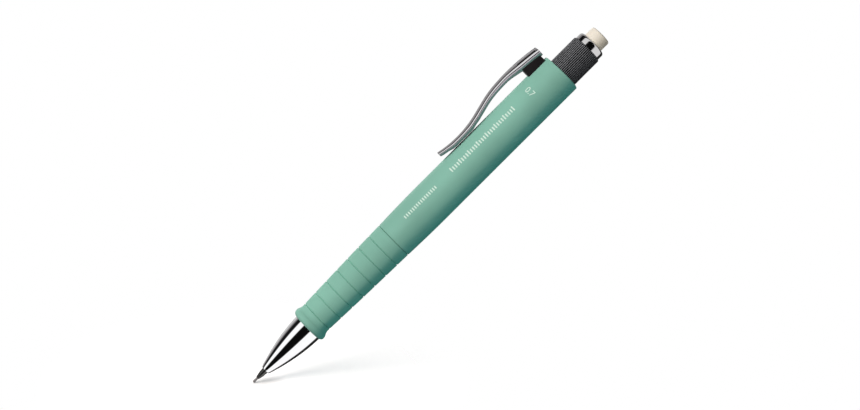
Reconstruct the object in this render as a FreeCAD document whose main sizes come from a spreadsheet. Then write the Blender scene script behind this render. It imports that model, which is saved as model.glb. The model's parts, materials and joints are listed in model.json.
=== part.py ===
import FreeCAD, Part
import math
import os
import Sketcher

# Mechanical pencil / lead holder for 0.7 mm leads, built as separate parts.
# All lengths are millimetres.  Sketches use the distance from the writing end
# of the lead as x and the radius (in side views the height) as y, so every
# turned part reads like a turning drawing.  Each body is then shifted so that
# the model origin is the middle of the parallel zone of the barrel, on the
# axis.  The writing end (front) points to -X and the clip is at +Z.

os.makedirs("parts", exist_ok=True)
doc = FreeCAD.newDocument("lead_holder")

# ----------------------------------------------------------------------
# driving dimensions: _x is a station along the axis, _rad a radius,
# _top and _low are heights above the axis, _curve is an arc radius
# ----------------------------------------------------------------------
DIMENSIONS = dict(
    # whole pencil; cut_over is how far a cut runs past the material
    total_len=140.0, datum_x=78.0, slip=0.02, part_gap=0.01, end_gap=0.05, cut_over=1.0,
    # lead and spare leads
    lead_front=0.001, lead_rad=0.35, lead_len=60.0, lead_wear=0.12,
    spare_front=43.5, spare_len=60.0, spare_ring_rad=1.0,
    # nose sleeve
    sleeve_front=1.62, sleeve_tip_rad=0.50, sleeve_neck_x=3.2, sleeve_neck_rad=0.86,
    sleeve_root_x=4.6, sleeve_root_rad=0.95, sleeve_root_edge=0.05,
    sleeve_shank_rad=0.98, sleeve_flange_x=8.62, sleeve_flange_len=0.98,
    sleeve_flange_rad=2.05, sleeve_tail_rad=1.25, sleeve_tail_x=12.3,
    sleeve_bore_rad=0.40, sleeve_pocket_rad=0.92, sleeve_pocket_x=10.1,
    # rubber ring; the insets are measured from the sleeve tail
    retainer_play=0.01, retainer_inset=0.3, retainer_mouth=0.35, retainer_cone_inset=0.8,
    # nose spring and its seat
    nose_spring_x=9.86, nose_spring_len=3.88, nose_spring_rad=1.70,
    nose_spring_wire=0.13, nose_spring_pitch=0.76,
    seat_x=14.0, seat_len=0.6, seat_hole_rad=1.40, seat_rad=2.14,
    # nose cone
    cone_x=4.8, cone_tip_rad=1.42, cone_edge=0.08, cone_edge_rise=0.016,
    cone_crest_x=23.0, cone_crest_rad=4.53, cone_aim_x=14.24, cone_back_x=23.98,
    spigot_rad=3.30, spigot_back_x=30.4, spigot_bevel=0.3, cone_bore_rad=1.05,
    cone_step_x=8.6, cone_mid_bore_rad=2.15, cone_mid_x=18.2, cone_back_bore_rad=2.50,
    # clutch
    ring_x=19.0, ring_len=3.0, ring_out_rad=2.30, ring_mouth_rad=1.60,
    ring_bore_rad=1.30, ring_cone_len=1.0, ring_bevel=0.15,
    jaw_x=18.0, jaw_bore_rad=0.36, jaw_head_rad=1.60, jaw_head_len=0.9,
    jaw_neck_x=20.6, jaw_rad=1.08, jaw_angle=110.0, jaw_round=0.12,
    shank_x=27.0, shank_len=9.0, shank_rad=1.15, shank_bore_rad=0.42, shank_bevel=0.15,
    # guide sleeve and return spring
    guide_x=22.2, guide_back_x=44.0, guide_rad=2.40, guide_front_bore_rad=1.40,
    guide_step_x=24.5, guide_bore_rad=1.95, guide_flange_x=30.5,
    guide_flange_len=0.9, guide_flange_rad=3.35,
    return_x=24.76, return_len=8.98, return_rad=1.62, return_wire=0.20, return_pitch=1.28,
    # lead magazine: connector and tube
    conn_x=34.0, conn_step_x=47.5, conn_back_x=52.0, conn_rad=1.88, conn_cup_rad=2.30,
    conn_socket_rad=1.16, conn_socket_x=36.1, conn_hole_rad=0.50, conn_funnel_x=38.0,
    conn_funnel_back_x=41.0, conn_bore_rad=1.42, conn_seat_x=47.0, conn_seat_rad=1.82,
    tube_in_rad=1.50, tube_rad=1.80,
    # barrel and its clip slot
    barrel_stem_x=24.0, barrel_stem_rad=4.20, barrel_stem_bevel=0.15,
    barrel_joint_x=56.8, barrel_front_rad=5.88, barrel_edge=0.12, barrel_swell_x=65.5,
    barrel_hold_x=72.0, barrel_hold_rad=6.18, barrel_hold_len=12.0,
    barrel_back_rad=6.22, barrel_back_x=124.3, barrel_rim=0.28,
    barrel_front_bore_rad=3.40, barrel_step_x=31.5, barrel_guide_bore_rad=2.45,
    barrel_guide_x=46.0, barrel_mid_bore_rad=3.0, barrel_mid_x=60.0,
    barrel_cone_x=63.0, barrel_bore_rad=4.99,
    slot_x=116.7, slot_len=6.7, slot_cut_in=1.6, slot_cut_out=2.0,
    # grip sleeve; groove_half and groove_floor are half widths at top and floor
    grip_x=21.9, grip_back_x=56.74, grip_mouth_rad=4.60, grip_in_rad=4.22,
    grip_lip_rad=4.78, grip_lip_edge=0.06, grip_back_edge=0.12,
    grip_flare_x=23.2, grip_flare_rad=5.60, grip_flare_curve=1.12,
    grip_waist_x=24.2, grip_waist_rad=5.28, grip_waist_curve=1.9,
    grip_neck_x=25.5, grip_neck_rad=5.00, grip_neck_curve=3.2,
    grip_taper_rad=5.88, grip_taper_x=57.0,
    groove_first_x=26.2, groove_pitch=4.39, groove_half=0.22, groove_depth=0.32,
    groove_floor=0.12,
    # clip carrier; block_play is the total play across the block
    carrier_x=106.0, carrier_back_x=120.0, carrier_in_rad=4.45, carrier_rad=4.97,
    block_x=116.76, block_back_x=123.34, block_sink=0.6, block_width=4.20,
    block_play=0.06, block_top_front=10.60, block_top_back=9.92,
    # clip, both parts
    clip_x=83.1, clip_split_x=116.7, clip_gap=0.02, clip_back_x=124.1,
    clip_width=5.2, clip_sheet=0.48, clip_roof_front=0.14, clip_roof_back=0.04,
    clip_front_top=8.89, clip_bend_x=98.5, clip_bend_top=9.15, clip_dip_curve=32.9,
    clip_rise_x=102.5, clip_rise_top=10.16, clip_hump_x=108.0, clip_hump_top=11.08,
    clip_rise_curve=32.3, clip_split_top=11.188, clip_back_top=10.33,
    clip_hump_curve=62.6, clip_front_low=7.35, clip_bend_low=6.98,
    clip_dip_low_curve=34.7, clip_rise_low=8.00, clip_hump_low_x=107.6,
    clip_hump_low=8.82, clip_rise_low_curve=27.0, clip_split_low=8.66,
    clip_hump_low_curve=53.8, clip_root_low=8.30, clip_back_low=7.55,
    # floor of the clip channel where the clip comes nearest to the barrel
    clip_touch_x=91.6, clip_touch_low=6.24, clip_touch_half=2.2, clip_touch_flat=0.9,
    clip_touch_rise_front=1.46, clip_touch_rise_back=1.48, clip_touch_cut=1.5,
    clip_front_drop=0.06,
    # twist stem; the slot cut runs between multiples of the two tube radii
    stem_spigot_x=104.5, stem_spigot_rad=1.47, stem_spigot_bevel=0.3,
    stem_flange_x=109.95, stem_flange_rad=3.90, stem_tube_x=110.9, stem_tube_in=3.28,
    stem_tube_rad=3.46, stem_back_x=133.6, stem_slot_x=111.8, stem_slot_back=127.2,
    stem_slot_width=1.2, stem_slot_out_ratio=1.2, stem_slot_in_ratio=0.8,
    # knob and its flutes
    knob_x=109.2, knob_lip_x=109.85, knob_lip_rad=2.20, knob_bore_rad=4.00,
    knob_hidden_rad=4.32, knob_front_bevel=0.2, knurl_x=123.6, knurl_rad=4.77,
    knurl_bevel=0.2, knob_back_x=134.18, knob_bevel=0.35, knurl_depth=0.26,
    knurl_half_width=0.17, knurl_count=56.0,
    flute_lead=0.2, flute_overrun=0.6, flute_rise=0.15,
    # knob collar
    collar_x=133.0, collar_spigot_rad=3.98, collar_spigot_bore=3.55,
    collar_step_x=134.2, collar_rad=4.40, collar_back_x=136.6, collar_round=0.8,
    collar_hole_rad=3.27,
    # spiral coil
    coil_x=112.625, coil_len=19.6, coil_rad=3.70, coil_wire=0.22, coil_pitch=2.5,
    # eraser holder and eraser
    cup_x=114.2, cup_back_x=119.0, cup_rad=3.22, cup_bevel=0.2, cup_bore_rad=2.60,
    cup_floor=0.75, lug_x=114.95, lug_len=1.6, lug_width=1.0, lug_reach=3.86,
    lug_root=0.2, rubber_rad=3.20, rubber_foot_rad=2.55, rubber_round=0.45,
)
GROOVE_COUNT = 7
SPARE_COUNT = 3

sheet = doc.addObject("Spreadsheet::Sheet", "Sheet")
for row, (alias, value) in enumerate(DIMENSIONS.items(), start=1):
    sheet.set("A%d" % row, alias.replace("_", " "))
    sheet.set("B%d" % row, "%g" % value)
    sheet.setAlias("B%d" % row, alias)
doc.recompute()


class Dim:
    """A size: its value now, and the sheet expression that it is bound to."""

    def __init__(self, value, text):
        self.value = float(value)
        self.text = text

    @staticmethod
    def of(other):
        if isinstance(other, Dim):
            return other
        return Dim(other, "%.6g" % other)

    def join(self, other, sign, value):
        return Dim(value, "(%s %s %s)" % (self.text, sign, Dim.of(other).text))

    def __add__(self, other):
        return self.join(other, "+", self.value + Dim.of(other).value)

    def __sub__(self, other):
        return self.join(other, "-", self.value - Dim.of(other).value)

    def __mul__(self, other):
        return self.join(other, "*", self.value * Dim.of(other).value)

    def __truediv__(self, other):
        return self.join(other, "/", self.value / Dim.of(other).value)

    def __neg__(self):
        return self * -1


class SheetDims:
    """Reads a driving dimension by its alias: dim.lead_rad."""

    def __getattr__(self, alias):
        return Dim(getattr(sheet, alias), "Sheet." + alias)


dim = SheetDims()


def bind(obj, prop, size):
    """Bind a property to the sheet, unless the size is a plain number."""
    if "Sheet." in size.text:
        obj.setExpression(prop, size.text)


# ----------------------------------------------------------------------
# sketches
# ----------------------------------------------------------------------
LEFT, RIGHT = 1, -1  # side to which an arc bulges, seen along the outline
START, END, CENTRE = 1, 2, 3  # point numbers on sketch geometry
ORIGIN = (-1, START)
H_AXIS, V_AXIS = -1, -2
SKETCH_NORMAL = FreeCAD.Vector(0, 0, 1)

bodies = []


def new_body(name):
    body = doc.addObject("PartDesign::Body", name)
    body.Label = name
    body.Placement.Base = FreeCAD.Vector(-dim.datum_x.value, 0, 0)
    body.setExpression("Placement.Base.x", "-1 * Sheet.datum_x")
    bodies.append(body)
    return body


def new_sketch(body, name, role):
    plane = next(item for item in body.Origin.OriginFeatures if item.Role == role)
    sketch = body.newObject("Sketcher::SketchObject", name)
    sketch.AttachmentSupport = [(plane, "")]
    sketch.MapMode = "FlatFace"
    return sketch


def cross_sketch(body, name, x):
    """A sketch square to the axis, at station x."""
    sketch = new_sketch(body, name, "YZ_Plane")
    sketch.AttachmentOffset = FreeCAD.Placement(
        FreeCAD.Vector(0, 0, x.value), FreeCAD.Rotation())
    bind(sketch, "AttachmentOffset.Base.z", x)
    return sketch


def constrain(sketch, kind, places, size):
    index = sketch.addConstraint(Sketcher.Constraint(kind, *places, size.value))
    bind(sketch, "Constraints[%d]" % index, size)


def fix_point(sketch, geo, point, x, y):
    """Hold a point at (x, y); a zero coordinate puts it on the axis."""
    for size, kind, axis in ((x, "DistanceX", V_AXIS), (y, "DistanceY", H_AXIS)):
        if abs(size.value) < 1e-9:
            sketch.addConstraint(Sketcher.Constraint("PointOnObject", geo, point, axis))
        else:
            constrain(sketch, kind, (*ORIGIN, geo, point), size)


def add_circle(sketch, x, y, radius):
    geo = sketch.addGeometry(Part.Circle(
        FreeCAD.Vector(x.value, y.value, 0), SKETCH_NORMAL, radius.value))
    fix_point(sketch, geo, CENTRE, x, y)
    constrain(sketch, "Radius", (geo,), radius)


def arc_between(start, end, radius, side):
    half = (end - start) * 0.5
    normal = FreeCAD.Vector(-half.y, half.x, 0)
    normal.normalize()
    reach = math.sqrt(radius ** 2 - half.Length ** 2)
    centre = (start + end) * 0.5 - normal * (reach * side)
    # arcs run anticlockwise, so one that bulges left is drawn backwards
    first, last = (end, start) if side == LEFT else (start, end)
    first_angle = math.atan2(first.y - centre.y, first.x - centre.x)
    last_angle = math.atan2(last.y - centre.y, last.x - centre.x)
    if last_angle < first_angle:
        last_angle += 2 * math.pi
    return Part.ArcOfCircle(Part.Circle(centre, SKETCH_NORMAL, radius),
                            first_angle, last_angle)


def add_edge(sketch, start, end, curve):
    """Add one outline edge; returns its index and its start and end points."""
    if not curve:
        return sketch.addGeometry(Part.LineSegment(start, end)), START, END
    if curve[0] == "flank":
        aim = FreeCAD.Vector(curve[1].value, curve[2].value, 0)
        spline = Part.BSplineCurve()
        spline.buildFromPolesMultsKnots([start, aim, end], [3, 3], [0.0, 1.0], False, 2)
        return sketch.addGeometry(spline), START, END
    radius, side = curve
    geo = sketch.addGeometry(arc_between(start, end, radius.value, side))
    return (geo, END, START) if side == LEFT else (geo, START, END)


def fix_flank_aim(sketch, geo, aim_x, aim_y):
    """Hold the middle pole of a flank, shown in the sketch as a circle."""
    before = sketch.GeometryCount
    sketch.exposeInternalGeometry(geo)
    for pole in range(before, sketch.GeometryCount):
        item = sketch.Geometry[pole]
        if not isinstance(item, Part.Circle):
            continue
        if abs(item.Center.x - aim_x.value) + abs(item.Center.y - aim_y.value) < 1e-6:
            fix_point(sketch, pole, CENTRE, aim_x, aim_y)


def outline(sketch, points):
    """Closed, fully dimensioned outline.  Each point says how the edge to
    the next point runs:
    (x, y)                          straight line
    (x, y, radius, LEFT or RIGHT)   arc that bulges to that side
    (x, y, "flank", aim_x, aim_y)   parabola aimed at a corner point"""
    corners = [(Dim.of(x), Dim.of(y)) for x, y, *_ in points]
    curves = [point[2:] for point in points]
    vectors = [FreeCAD.Vector(x.value, y.value, 0) for x, y in corners]
    count = len(points)
    edges = [add_edge(sketch, vectors[i], vectors[(i + 1) % count], curves[i])
             for i in range(count)]
    for i in range(count):
        geo, _, end = edges[i]
        next_geo, next_start, _ = edges[(i + 1) % count]
        sketch.addConstraint(Sketcher.Constraint(
            "Coincident", geo, end, next_geo, next_start))
    for (geo, start, _), (x, y), curve in zip(edges, corners, curves):
        fix_point(sketch, geo, start, x, y)
        if len(curve) == 2:
            constrain(sketch, "Radius", (geo,), curve[0])
    for (geo, _, _), curve in zip(edges, curves):
        if len(curve) == 3:
            fix_flank_aim(sketch, geo, curve[1], curve[2])


def rectangle(front, back, low, high):
    return [(front, low), (front, high), (back, high), (back, low)]


# ----------------------------------------------------------------------
# features
# ----------------------------------------------------------------------
def revolve(body, name, points, angle=None, cut=False):
    """Turn an outline about the axis: a full turn, or a sector of the given
    angle centred on the sketch plane."""
    sketch = new_sketch(body, name + "_outline", "XY_Plane")
    outline(sketch, points)
    feature = body.newObject("PartDesign::Groove" if cut else "PartDesign::Revolution", name)
    feature.Profile = sketch
    feature.ReferenceAxis = (sketch, ["H_Axis"])
    feature.Angle = 360.0
    if angle is not None:
        feature.Angle = angle.value
        bind(feature, "Angle", angle)
        feature.Midplane = True
    sketch.Visibility = False


def turned_body(name, feature_name, points):
    body = new_body(name)
    revolve(body, feature_name, points)
    return body


def side_profile(body, name, points, width, cut=False):
    """A side view padded or cut evenly to both sides of the centre plane."""
    sketch = new_sketch(body, name + "_outline", "XZ_Plane")
    outline(sketch, points)
    feature = body.newObject("PartDesign::Pocket" if cut else "PartDesign::Pad", name)
    feature.Profile = sketch
    # SideType takes the place of Midplane in newer FreeCAD versions
    if hasattr(feature, "SideType"):
        feature.SideType = "Symmetric"
    else:
        feature.Midplane = True
    feature.Length = width.value
    bind(feature, "Length", width)
    sketch.Visibility = False


def coil_body(name, feature_name, x, radius, wire, pitch, length):
    """A round wire wound about the axis, from x to the back."""
    body = new_body(name)
    sketch = new_sketch(body, feature_name + "_wire", "XY_Plane")
    add_circle(sketch, x, radius, wire)
    helix = body.newObject("PartDesign::AdditiveHelix", feature_name)
    helix.Profile = sketch
    helix.ReferenceAxis = (sketch, ["H_Axis"])
    helix.Mode = 0  # pitch and height
    helix.Pitch = pitch.value
    helix.Height = length.value
    bind(helix, "Pitch", pitch)
    bind(helix, "Height", length)
    sketch.Visibility = False


# ----------------------------------------------------------------------
# nose
# ----------------------------------------------------------------------
# lead in use: a plain round stick with a slightly worn point
turned_body("lead", "lead_stick", [
    (dim.lead_front, 0.0),
    (dim.lead_front, dim.lead_rad - dim.lead_wear),
    (dim.lead_wear, dim.lead_rad),
    (dim.lead_len, dim.lead_rad),
    (dim.lead_len, 0.0)])

# nose sleeve: sliding sleeve that guides the lead, with a spring flange
# and a rear cup for the rubber ring
flange_back = dim.sleeve_flange_x + dim.sleeve_flange_len
turned_body("nose_sleeve", "sleeve_turning", [
    (dim.sleeve_front, dim.sleeve_bore_rad),
    (dim.sleeve_front, dim.sleeve_tip_rad),
    (dim.sleeve_neck_x, dim.sleeve_neck_rad),
    (dim.sleeve_root_x, dim.sleeve_root_rad),
    (dim.sleeve_root_x + dim.sleeve_root_edge, dim.sleeve_shank_rad),
    (dim.sleeve_flange_x, dim.sleeve_shank_rad),
    (dim.sleeve_flange_x, dim.sleeve_flange_rad),
    (flange_back, dim.sleeve_flange_rad),
    (flange_back, dim.sleeve_tail_rad),
    (dim.sleeve_tail_x, dim.sleeve_tail_rad),
    (dim.sleeve_tail_x, dim.sleeve_pocket_rad),
    (dim.sleeve_pocket_x, dim.sleeve_pocket_rad),
    (dim.sleeve_pocket_x, dim.sleeve_bore_rad)])

# rubber ring that holds the lead back while the chuck lets go
retainer_front = dim.sleeve_pocket_x + dim.end_gap
retainer_back = dim.sleeve_tail_x - dim.retainer_inset
retainer_rad = dim.sleeve_pocket_rad - dim.slip
retainer_bore = dim.lead_rad + dim.retainer_play
turned_body("lead_retainer", "retainer_ring", [
    (retainer_front, retainer_bore),
    (retainer_front, retainer_rad),
    (retainer_back, retainer_rad),
    (retainer_back, dim.lead_rad + dim.retainer_mouth),
    (dim.sleeve_tail_x - dim.retainer_cone_inset, retainer_bore)])

# small spring that pushes the nose sleeve out
coil_body("slider_spring", "slider_spring_coil", x=dim.nose_spring_x,
          radius=dim.nose_spring_rad, wire=dim.nose_spring_wire,
          pitch=dim.nose_spring_pitch, length=dim.nose_spring_len)

# washer pressed into the cone behind the small spring
turned_body("spring_seat", "seat_washer", rectangle(
    dim.seat_x, dim.seat_x + dim.seat_len, dim.seat_hole_rad, dim.seat_rad))

# nose cone: turned shell with a long curved flank and a rear spigot
turned_body("nose_cone", "cone_turning", [
    (dim.cone_x, dim.cone_bore_rad),
    (dim.cone_x, dim.cone_tip_rad - dim.cone_edge),
    (dim.cone_x + dim.cone_edge, dim.cone_tip_rad + dim.cone_edge_rise, "flank",
     dim.cone_aim_x, dim.cone_crest_rad),
    (dim.cone_crest_x, dim.cone_crest_rad),
    (dim.cone_back_x, dim.cone_crest_rad),
    (dim.cone_back_x, dim.spigot_rad),
    (dim.spigot_back_x - dim.spigot_bevel, dim.spigot_rad),
    (dim.spigot_back_x, dim.spigot_rad - dim.spigot_bevel),
    (dim.spigot_back_x, dim.cone_back_bore_rad),
    (dim.cone_mid_x, dim.cone_back_bore_rad),
    (dim.cone_mid_x, dim.cone_mid_bore_rad),
    (dim.cone_step_x, dim.cone_mid_bore_rad),
    (dim.cone_step_x, dim.cone_bore_rad)])

# ----------------------------------------------------------------------
# clutch
# ----------------------------------------------------------------------
# clutch ring: closes the chuck jaws by its inner cone
ring_back = dim.ring_x + dim.ring_len
turned_body("clutch_ring", "clutch_ring_turning", [
    (dim.ring_x, dim.ring_mouth_rad),
    (dim.ring_x, dim.ring_out_rad - dim.ring_bevel),
    (dim.ring_x + dim.ring_bevel, dim.ring_out_rad),
    (ring_back - dim.ring_bevel, dim.ring_out_rad),
    (ring_back, dim.ring_out_rad - dim.ring_bevel),
    (ring_back, dim.ring_bore_rad),
    (dim.ring_x + dim.ring_cone_len, dim.ring_bore_rad)])

# the three jaws of the chuck, 120 degrees apart, ending just before the shank
jaw_back = dim.shank_x - dim.part_gap
for name, turn in (("chuck_jaw_a", 90.0), ("chuck_jaw_b", 210.0), ("chuck_jaw_c", 330.0)):
    jaw = new_body(name)
    revolve(jaw, name + "_sector", [
        (dim.jaw_x, dim.jaw_bore_rad),
        (dim.jaw_x, dim.jaw_head_rad - dim.jaw_round),
        (dim.jaw_x + dim.jaw_round, dim.jaw_head_rad),
        (dim.jaw_x + dim.jaw_head_len, dim.jaw_head_rad),
        (dim.jaw_neck_x, dim.jaw_rad),
        (jaw_back, dim.jaw_rad),
        (jaw_back, dim.jaw_bore_rad)], angle=dim.jaw_angle)
    jaw.Placement = FreeCAD.Placement(
        jaw.Placement.Base, FreeCAD.Rotation(FreeCAD.Vector(1, 0, 0), turn))

# shank that the jaws grow from
shank_back = dim.shank_x + dim.shank_len
turned_body("chuck_shank", "shank_turning", [
    (dim.shank_x, dim.shank_bore_rad),
    (dim.shank_x, dim.shank_rad),
    (shank_back - dim.shank_bevel, dim.shank_rad),
    (shank_back, dim.shank_rad - dim.shank_bevel),
    (shank_back, dim.shank_bore_rad)])

# guide sleeve clamped between cone and barrel, seat of the return spring
guide_flange_back = dim.guide_flange_x + dim.guide_flange_len
turned_body("guide_sleeve", "guide_turning", [
    (dim.guide_x, dim.guide_front_bore_rad),
    (dim.guide_x, dim.guide_rad),
    (dim.guide_flange_x, dim.guide_rad),
    (dim.guide_flange_x, dim.guide_flange_rad),
    (guide_flange_back, dim.guide_flange_rad),
    (guide_flange_back, dim.guide_rad),
    (dim.guide_back_x, dim.guide_rad),
    (dim.guide_back_x, dim.guide_bore_rad),
    (dim.guide_step_x, dim.guide_bore_rad),
    (dim.guide_step_x, dim.guide_front_bore_rad)])

# return spring of the chuck
coil_body("return_spring", "return_spring_coil", x=dim.return_x,
          radius=dim.return_rad, wire=dim.return_wire,
          pitch=dim.return_pitch, length=dim.return_len)

# ----------------------------------------------------------------------
# lead magazine
# ----------------------------------------------------------------------
# connector between chuck shank and lead tube, with the feed funnel
turned_body("tube_connector", "connector_moulding", [
    (dim.conn_x, dim.conn_socket_rad),
    (dim.conn_x, dim.conn_rad),
    (dim.conn_step_x, dim.conn_rad),
    (dim.conn_step_x, dim.conn_cup_rad),
    (dim.conn_back_x, dim.conn_cup_rad),
    (dim.conn_back_x, dim.conn_seat_rad),
    (dim.conn_seat_x, dim.conn_seat_rad),
    (dim.conn_seat_x, dim.conn_bore_rad),
    (dim.conn_funnel_back_x, dim.conn_bore_rad),
    (dim.conn_funnel_x, dim.conn_hole_rad),
    (dim.conn_socket_x, dim.conn_hole_rad),
    (dim.conn_socket_x, dim.conn_socket_rad)])

# lead tube (magazine), between the connector seat and the twist stem flange
turned_body("lead_tube", "tube_wall", rectangle(
    dim.conn_seat_x + dim.end_gap, dim.stem_flange_x - dim.end_gap,
    dim.tube_in_rad, dim.tube_rad))


def make_spare_leads():
    """Spare leads lying in the tube, one body with separate solids."""
    body = new_body("spare_leads")
    # only some FreeCAD versions ask for leave to hold several solids
    if hasattr(body, "AllowCompound"):
        body.AllowCompound = True
    sketch = cross_sketch(body, "spare_lead_circles", dim.spare_front)
    for i in range(SPARE_COUNT):
        angle = math.radians(90 + 360 / SPARE_COUNT * i)
        add_circle(sketch, dim.spare_ring_rad * math.cos(angle),
                   dim.spare_ring_rad * math.sin(angle), dim.lead_rad)
    pad = body.newObject("PartDesign::Pad", "spare_lead_sticks")
    pad.Profile = sketch
    pad.Length = dim.spare_len.value
    bind(pad, "Length", dim.spare_len)


make_spare_leads()

# ----------------------------------------------------------------------
# barrel and grip
# ----------------------------------------------------------------------
# barrel: one moulding with a long thin front stem under the grip, the
# parallel hold zone in the middle and a slot for the clip block
barrel = turned_body("barrel", "barrel_moulding", [
    (dim.barrel_stem_x, dim.barrel_front_bore_rad),
    (dim.barrel_stem_x, dim.barrel_stem_rad - dim.barrel_stem_bevel),
    (dim.barrel_stem_x + dim.barrel_stem_bevel, dim.barrel_stem_rad),
    (dim.barrel_joint_x, dim.barrel_stem_rad),
    (dim.barrel_joint_x, dim.barrel_front_rad - dim.barrel_edge),
    (dim.barrel_joint_x + dim.barrel_edge, dim.barrel_front_rad, "flank",
     dim.barrel_swell_x, dim.barrel_hold_rad),
    (dim.barrel_hold_x, dim.barrel_hold_rad),
    (dim.barrel_hold_x + dim.barrel_hold_len, dim.barrel_hold_rad),
    (dim.barrel_back_x - dim.barrel_rim, dim.barrel_back_rad, dim.barrel_rim, LEFT),
    (dim.barrel_back_x, dim.barrel_back_rad - dim.barrel_rim),
    (dim.barrel_back_x, dim.barrel_bore_rad),
    (dim.barrel_cone_x, dim.barrel_bore_rad),
    (dim.barrel_mid_x, dim.barrel_mid_bore_rad),
    (dim.barrel_guide_x, dim.barrel_mid_bore_rad),
    (dim.barrel_guide_x, dim.barrel_guide_bore_rad),
    (dim.barrel_step_x, dim.barrel_guide_bore_rad),
    (dim.barrel_step_x, dim.barrel_front_bore_rad)])
# the barrel slot and the inside of the clip both fit over the block
block_room = dim.block_width + dim.block_play
side_profile(barrel, "clip_slot", rectangle(
    dim.slot_x, dim.slot_x + dim.slot_len,
    dim.barrel_bore_rad - dim.slot_cut_in,
    dim.barrel_back_rad + dim.slot_cut_out), block_room, cut=True)


def make_grip_sleeve():
    """Soft sleeve with a flared front lip and fine ring grooves."""
    slope = ((dim.grip_taper_rad - dim.grip_neck_rad)
             / (dim.grip_taper_x - dim.grip_neck_x))

    def taper_rad(x):
        return dim.grip_neck_rad + (x - dim.grip_neck_x) * slope

    points = [
        (dim.grip_x, dim.grip_mouth_rad),
        (dim.grip_x, dim.grip_lip_rad - dim.grip_lip_edge),
        (dim.grip_x + dim.grip_lip_edge, dim.grip_lip_rad, dim.grip_flare_curve, LEFT),
        (dim.grip_flare_x, dim.grip_flare_rad, dim.grip_waist_curve, LEFT),
        (dim.grip_waist_x, dim.grip_waist_rad, dim.grip_neck_curve, RIGHT),
        (dim.grip_neck_x, dim.grip_neck_rad)]
    # one groove: offset from its middle, depth below the taper
    groove = (
        (-dim.groove_half, 0.0),
        (-dim.groove_floor, dim.groove_depth),
        (dim.groove_floor, dim.groove_depth),
        (dim.groove_half, 0.0))
    for i in range(GROOVE_COUNT):
        middle = dim.groove_first_x + dim.groove_pitch * i
        for offset, depth in groove:
            x = middle + offset
            points.append((x, taper_rad(x) - depth))
    edge_x = dim.grip_back_x - dim.grip_back_edge
    step_x = dim.barrel_stem_x - dim.part_gap
    points += [
        (edge_x, taper_rad(edge_x)),
        (dim.grip_back_x, taper_rad(dim.grip_back_x) - dim.grip_back_edge),
        (dim.grip_back_x, dim.grip_in_rad),
        (step_x, dim.grip_in_rad),
        (step_x, dim.grip_mouth_rad)]
    turned_body("grip_sleeve", "grip_moulding", points)


make_grip_sleeve()

# ----------------------------------------------------------------------
# clip
# ----------------------------------------------------------------------
# clip carrier: ring inside the barrel with a block that stands through
# the slot and carries the clip
carrier = new_body("clip_carrier")
block_bottom = dim.carrier_in_rad - dim.block_sink
side_profile(carrier, "carrier_block", [
    (dim.block_x, block_bottom),
    (dim.block_back_x, block_bottom),
    (dim.block_back_x, dim.block_top_back),
    (dim.block_x, dim.block_top_front)], dim.block_width)
revolve(carrier, "carrier_ring", rectangle(
    dim.carrier_x, dim.carrier_back_x, dim.carrier_in_rad, dim.carrier_rad))
# behind the ring the block is cut back to the outer radius of the ring
bore_front = dim.carrier_x - dim.cut_over
bore_back = dim.barrel_back_x + dim.cut_over
revolve(carrier, "carrier_bore", [
    (bore_front, 0.0),
    (bore_front, dim.carrier_in_rad),
    (dim.carrier_back_x, dim.carrier_in_rad),
    (dim.carrier_back_x, dim.carrier_rad),
    (bore_back, dim.carrier_rad),
    (bore_back, 0.0)], cut=True)

# clip root: the rear of the pressed clip, folded over the block
root = new_body("clip_root")
root_front = dim.clip_split_x + dim.clip_gap
side_profile(root, "root_outside", [
    (root_front, dim.clip_root_low),
    (dim.clip_back_x, dim.clip_back_low),
    (dim.clip_back_x, dim.clip_back_top, dim.clip_hump_curve, RIGHT),
    (root_front, dim.clip_split_top)], dim.clip_width)
root_cut_front = dim.clip_split_x - dim.cut_over
root_cut_back = dim.clip_back_x - dim.clip_sheet
root_cut_low = dim.clip_back_low - dim.cut_over
side_profile(root, "root_inside", [
    (root_cut_front, root_cut_low),
    (root_cut_back, root_cut_low),
    (root_cut_back, dim.block_top_back + dim.clip_roof_back),
    (root_cut_front, dim.block_top_front + dim.clip_roof_front)], block_room, cut=True)

# clip arm: sprung channel with a dip that presses on the barrel
arm = new_body("clip_arm")
side_profile(arm, "arm_outside", [
    (dim.clip_x, dim.clip_front_low, dim.clip_dip_low_curve, RIGHT),
    (dim.clip_bend_x, dim.clip_bend_low),
    (dim.clip_rise_x, dim.clip_rise_low, dim.clip_rise_low_curve, LEFT),
    (dim.clip_hump_low_x, dim.clip_hump_low, dim.clip_hump_low_curve, LEFT),
    (dim.clip_split_x, dim.clip_split_low),
    (dim.clip_split_x, dim.clip_split_top, dim.clip_hump_curve, RIGHT),
    (dim.clip_hump_x, dim.clip_hump_top, dim.clip_rise_curve, RIGHT),
    (dim.clip_rise_x, dim.clip_rise_top),
    (dim.clip_bend_x, dim.clip_bend_top, dim.clip_dip_curve, LEFT),
    (dim.clip_x, dim.clip_front_top)], dim.clip_width)
arm_cut_front = dim.clip_x + dim.clip_sheet
arm_cut_back = dim.clip_split_x + dim.cut_over
arm_cut_low = dim.clip_touch_low - dim.clip_touch_cut
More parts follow.
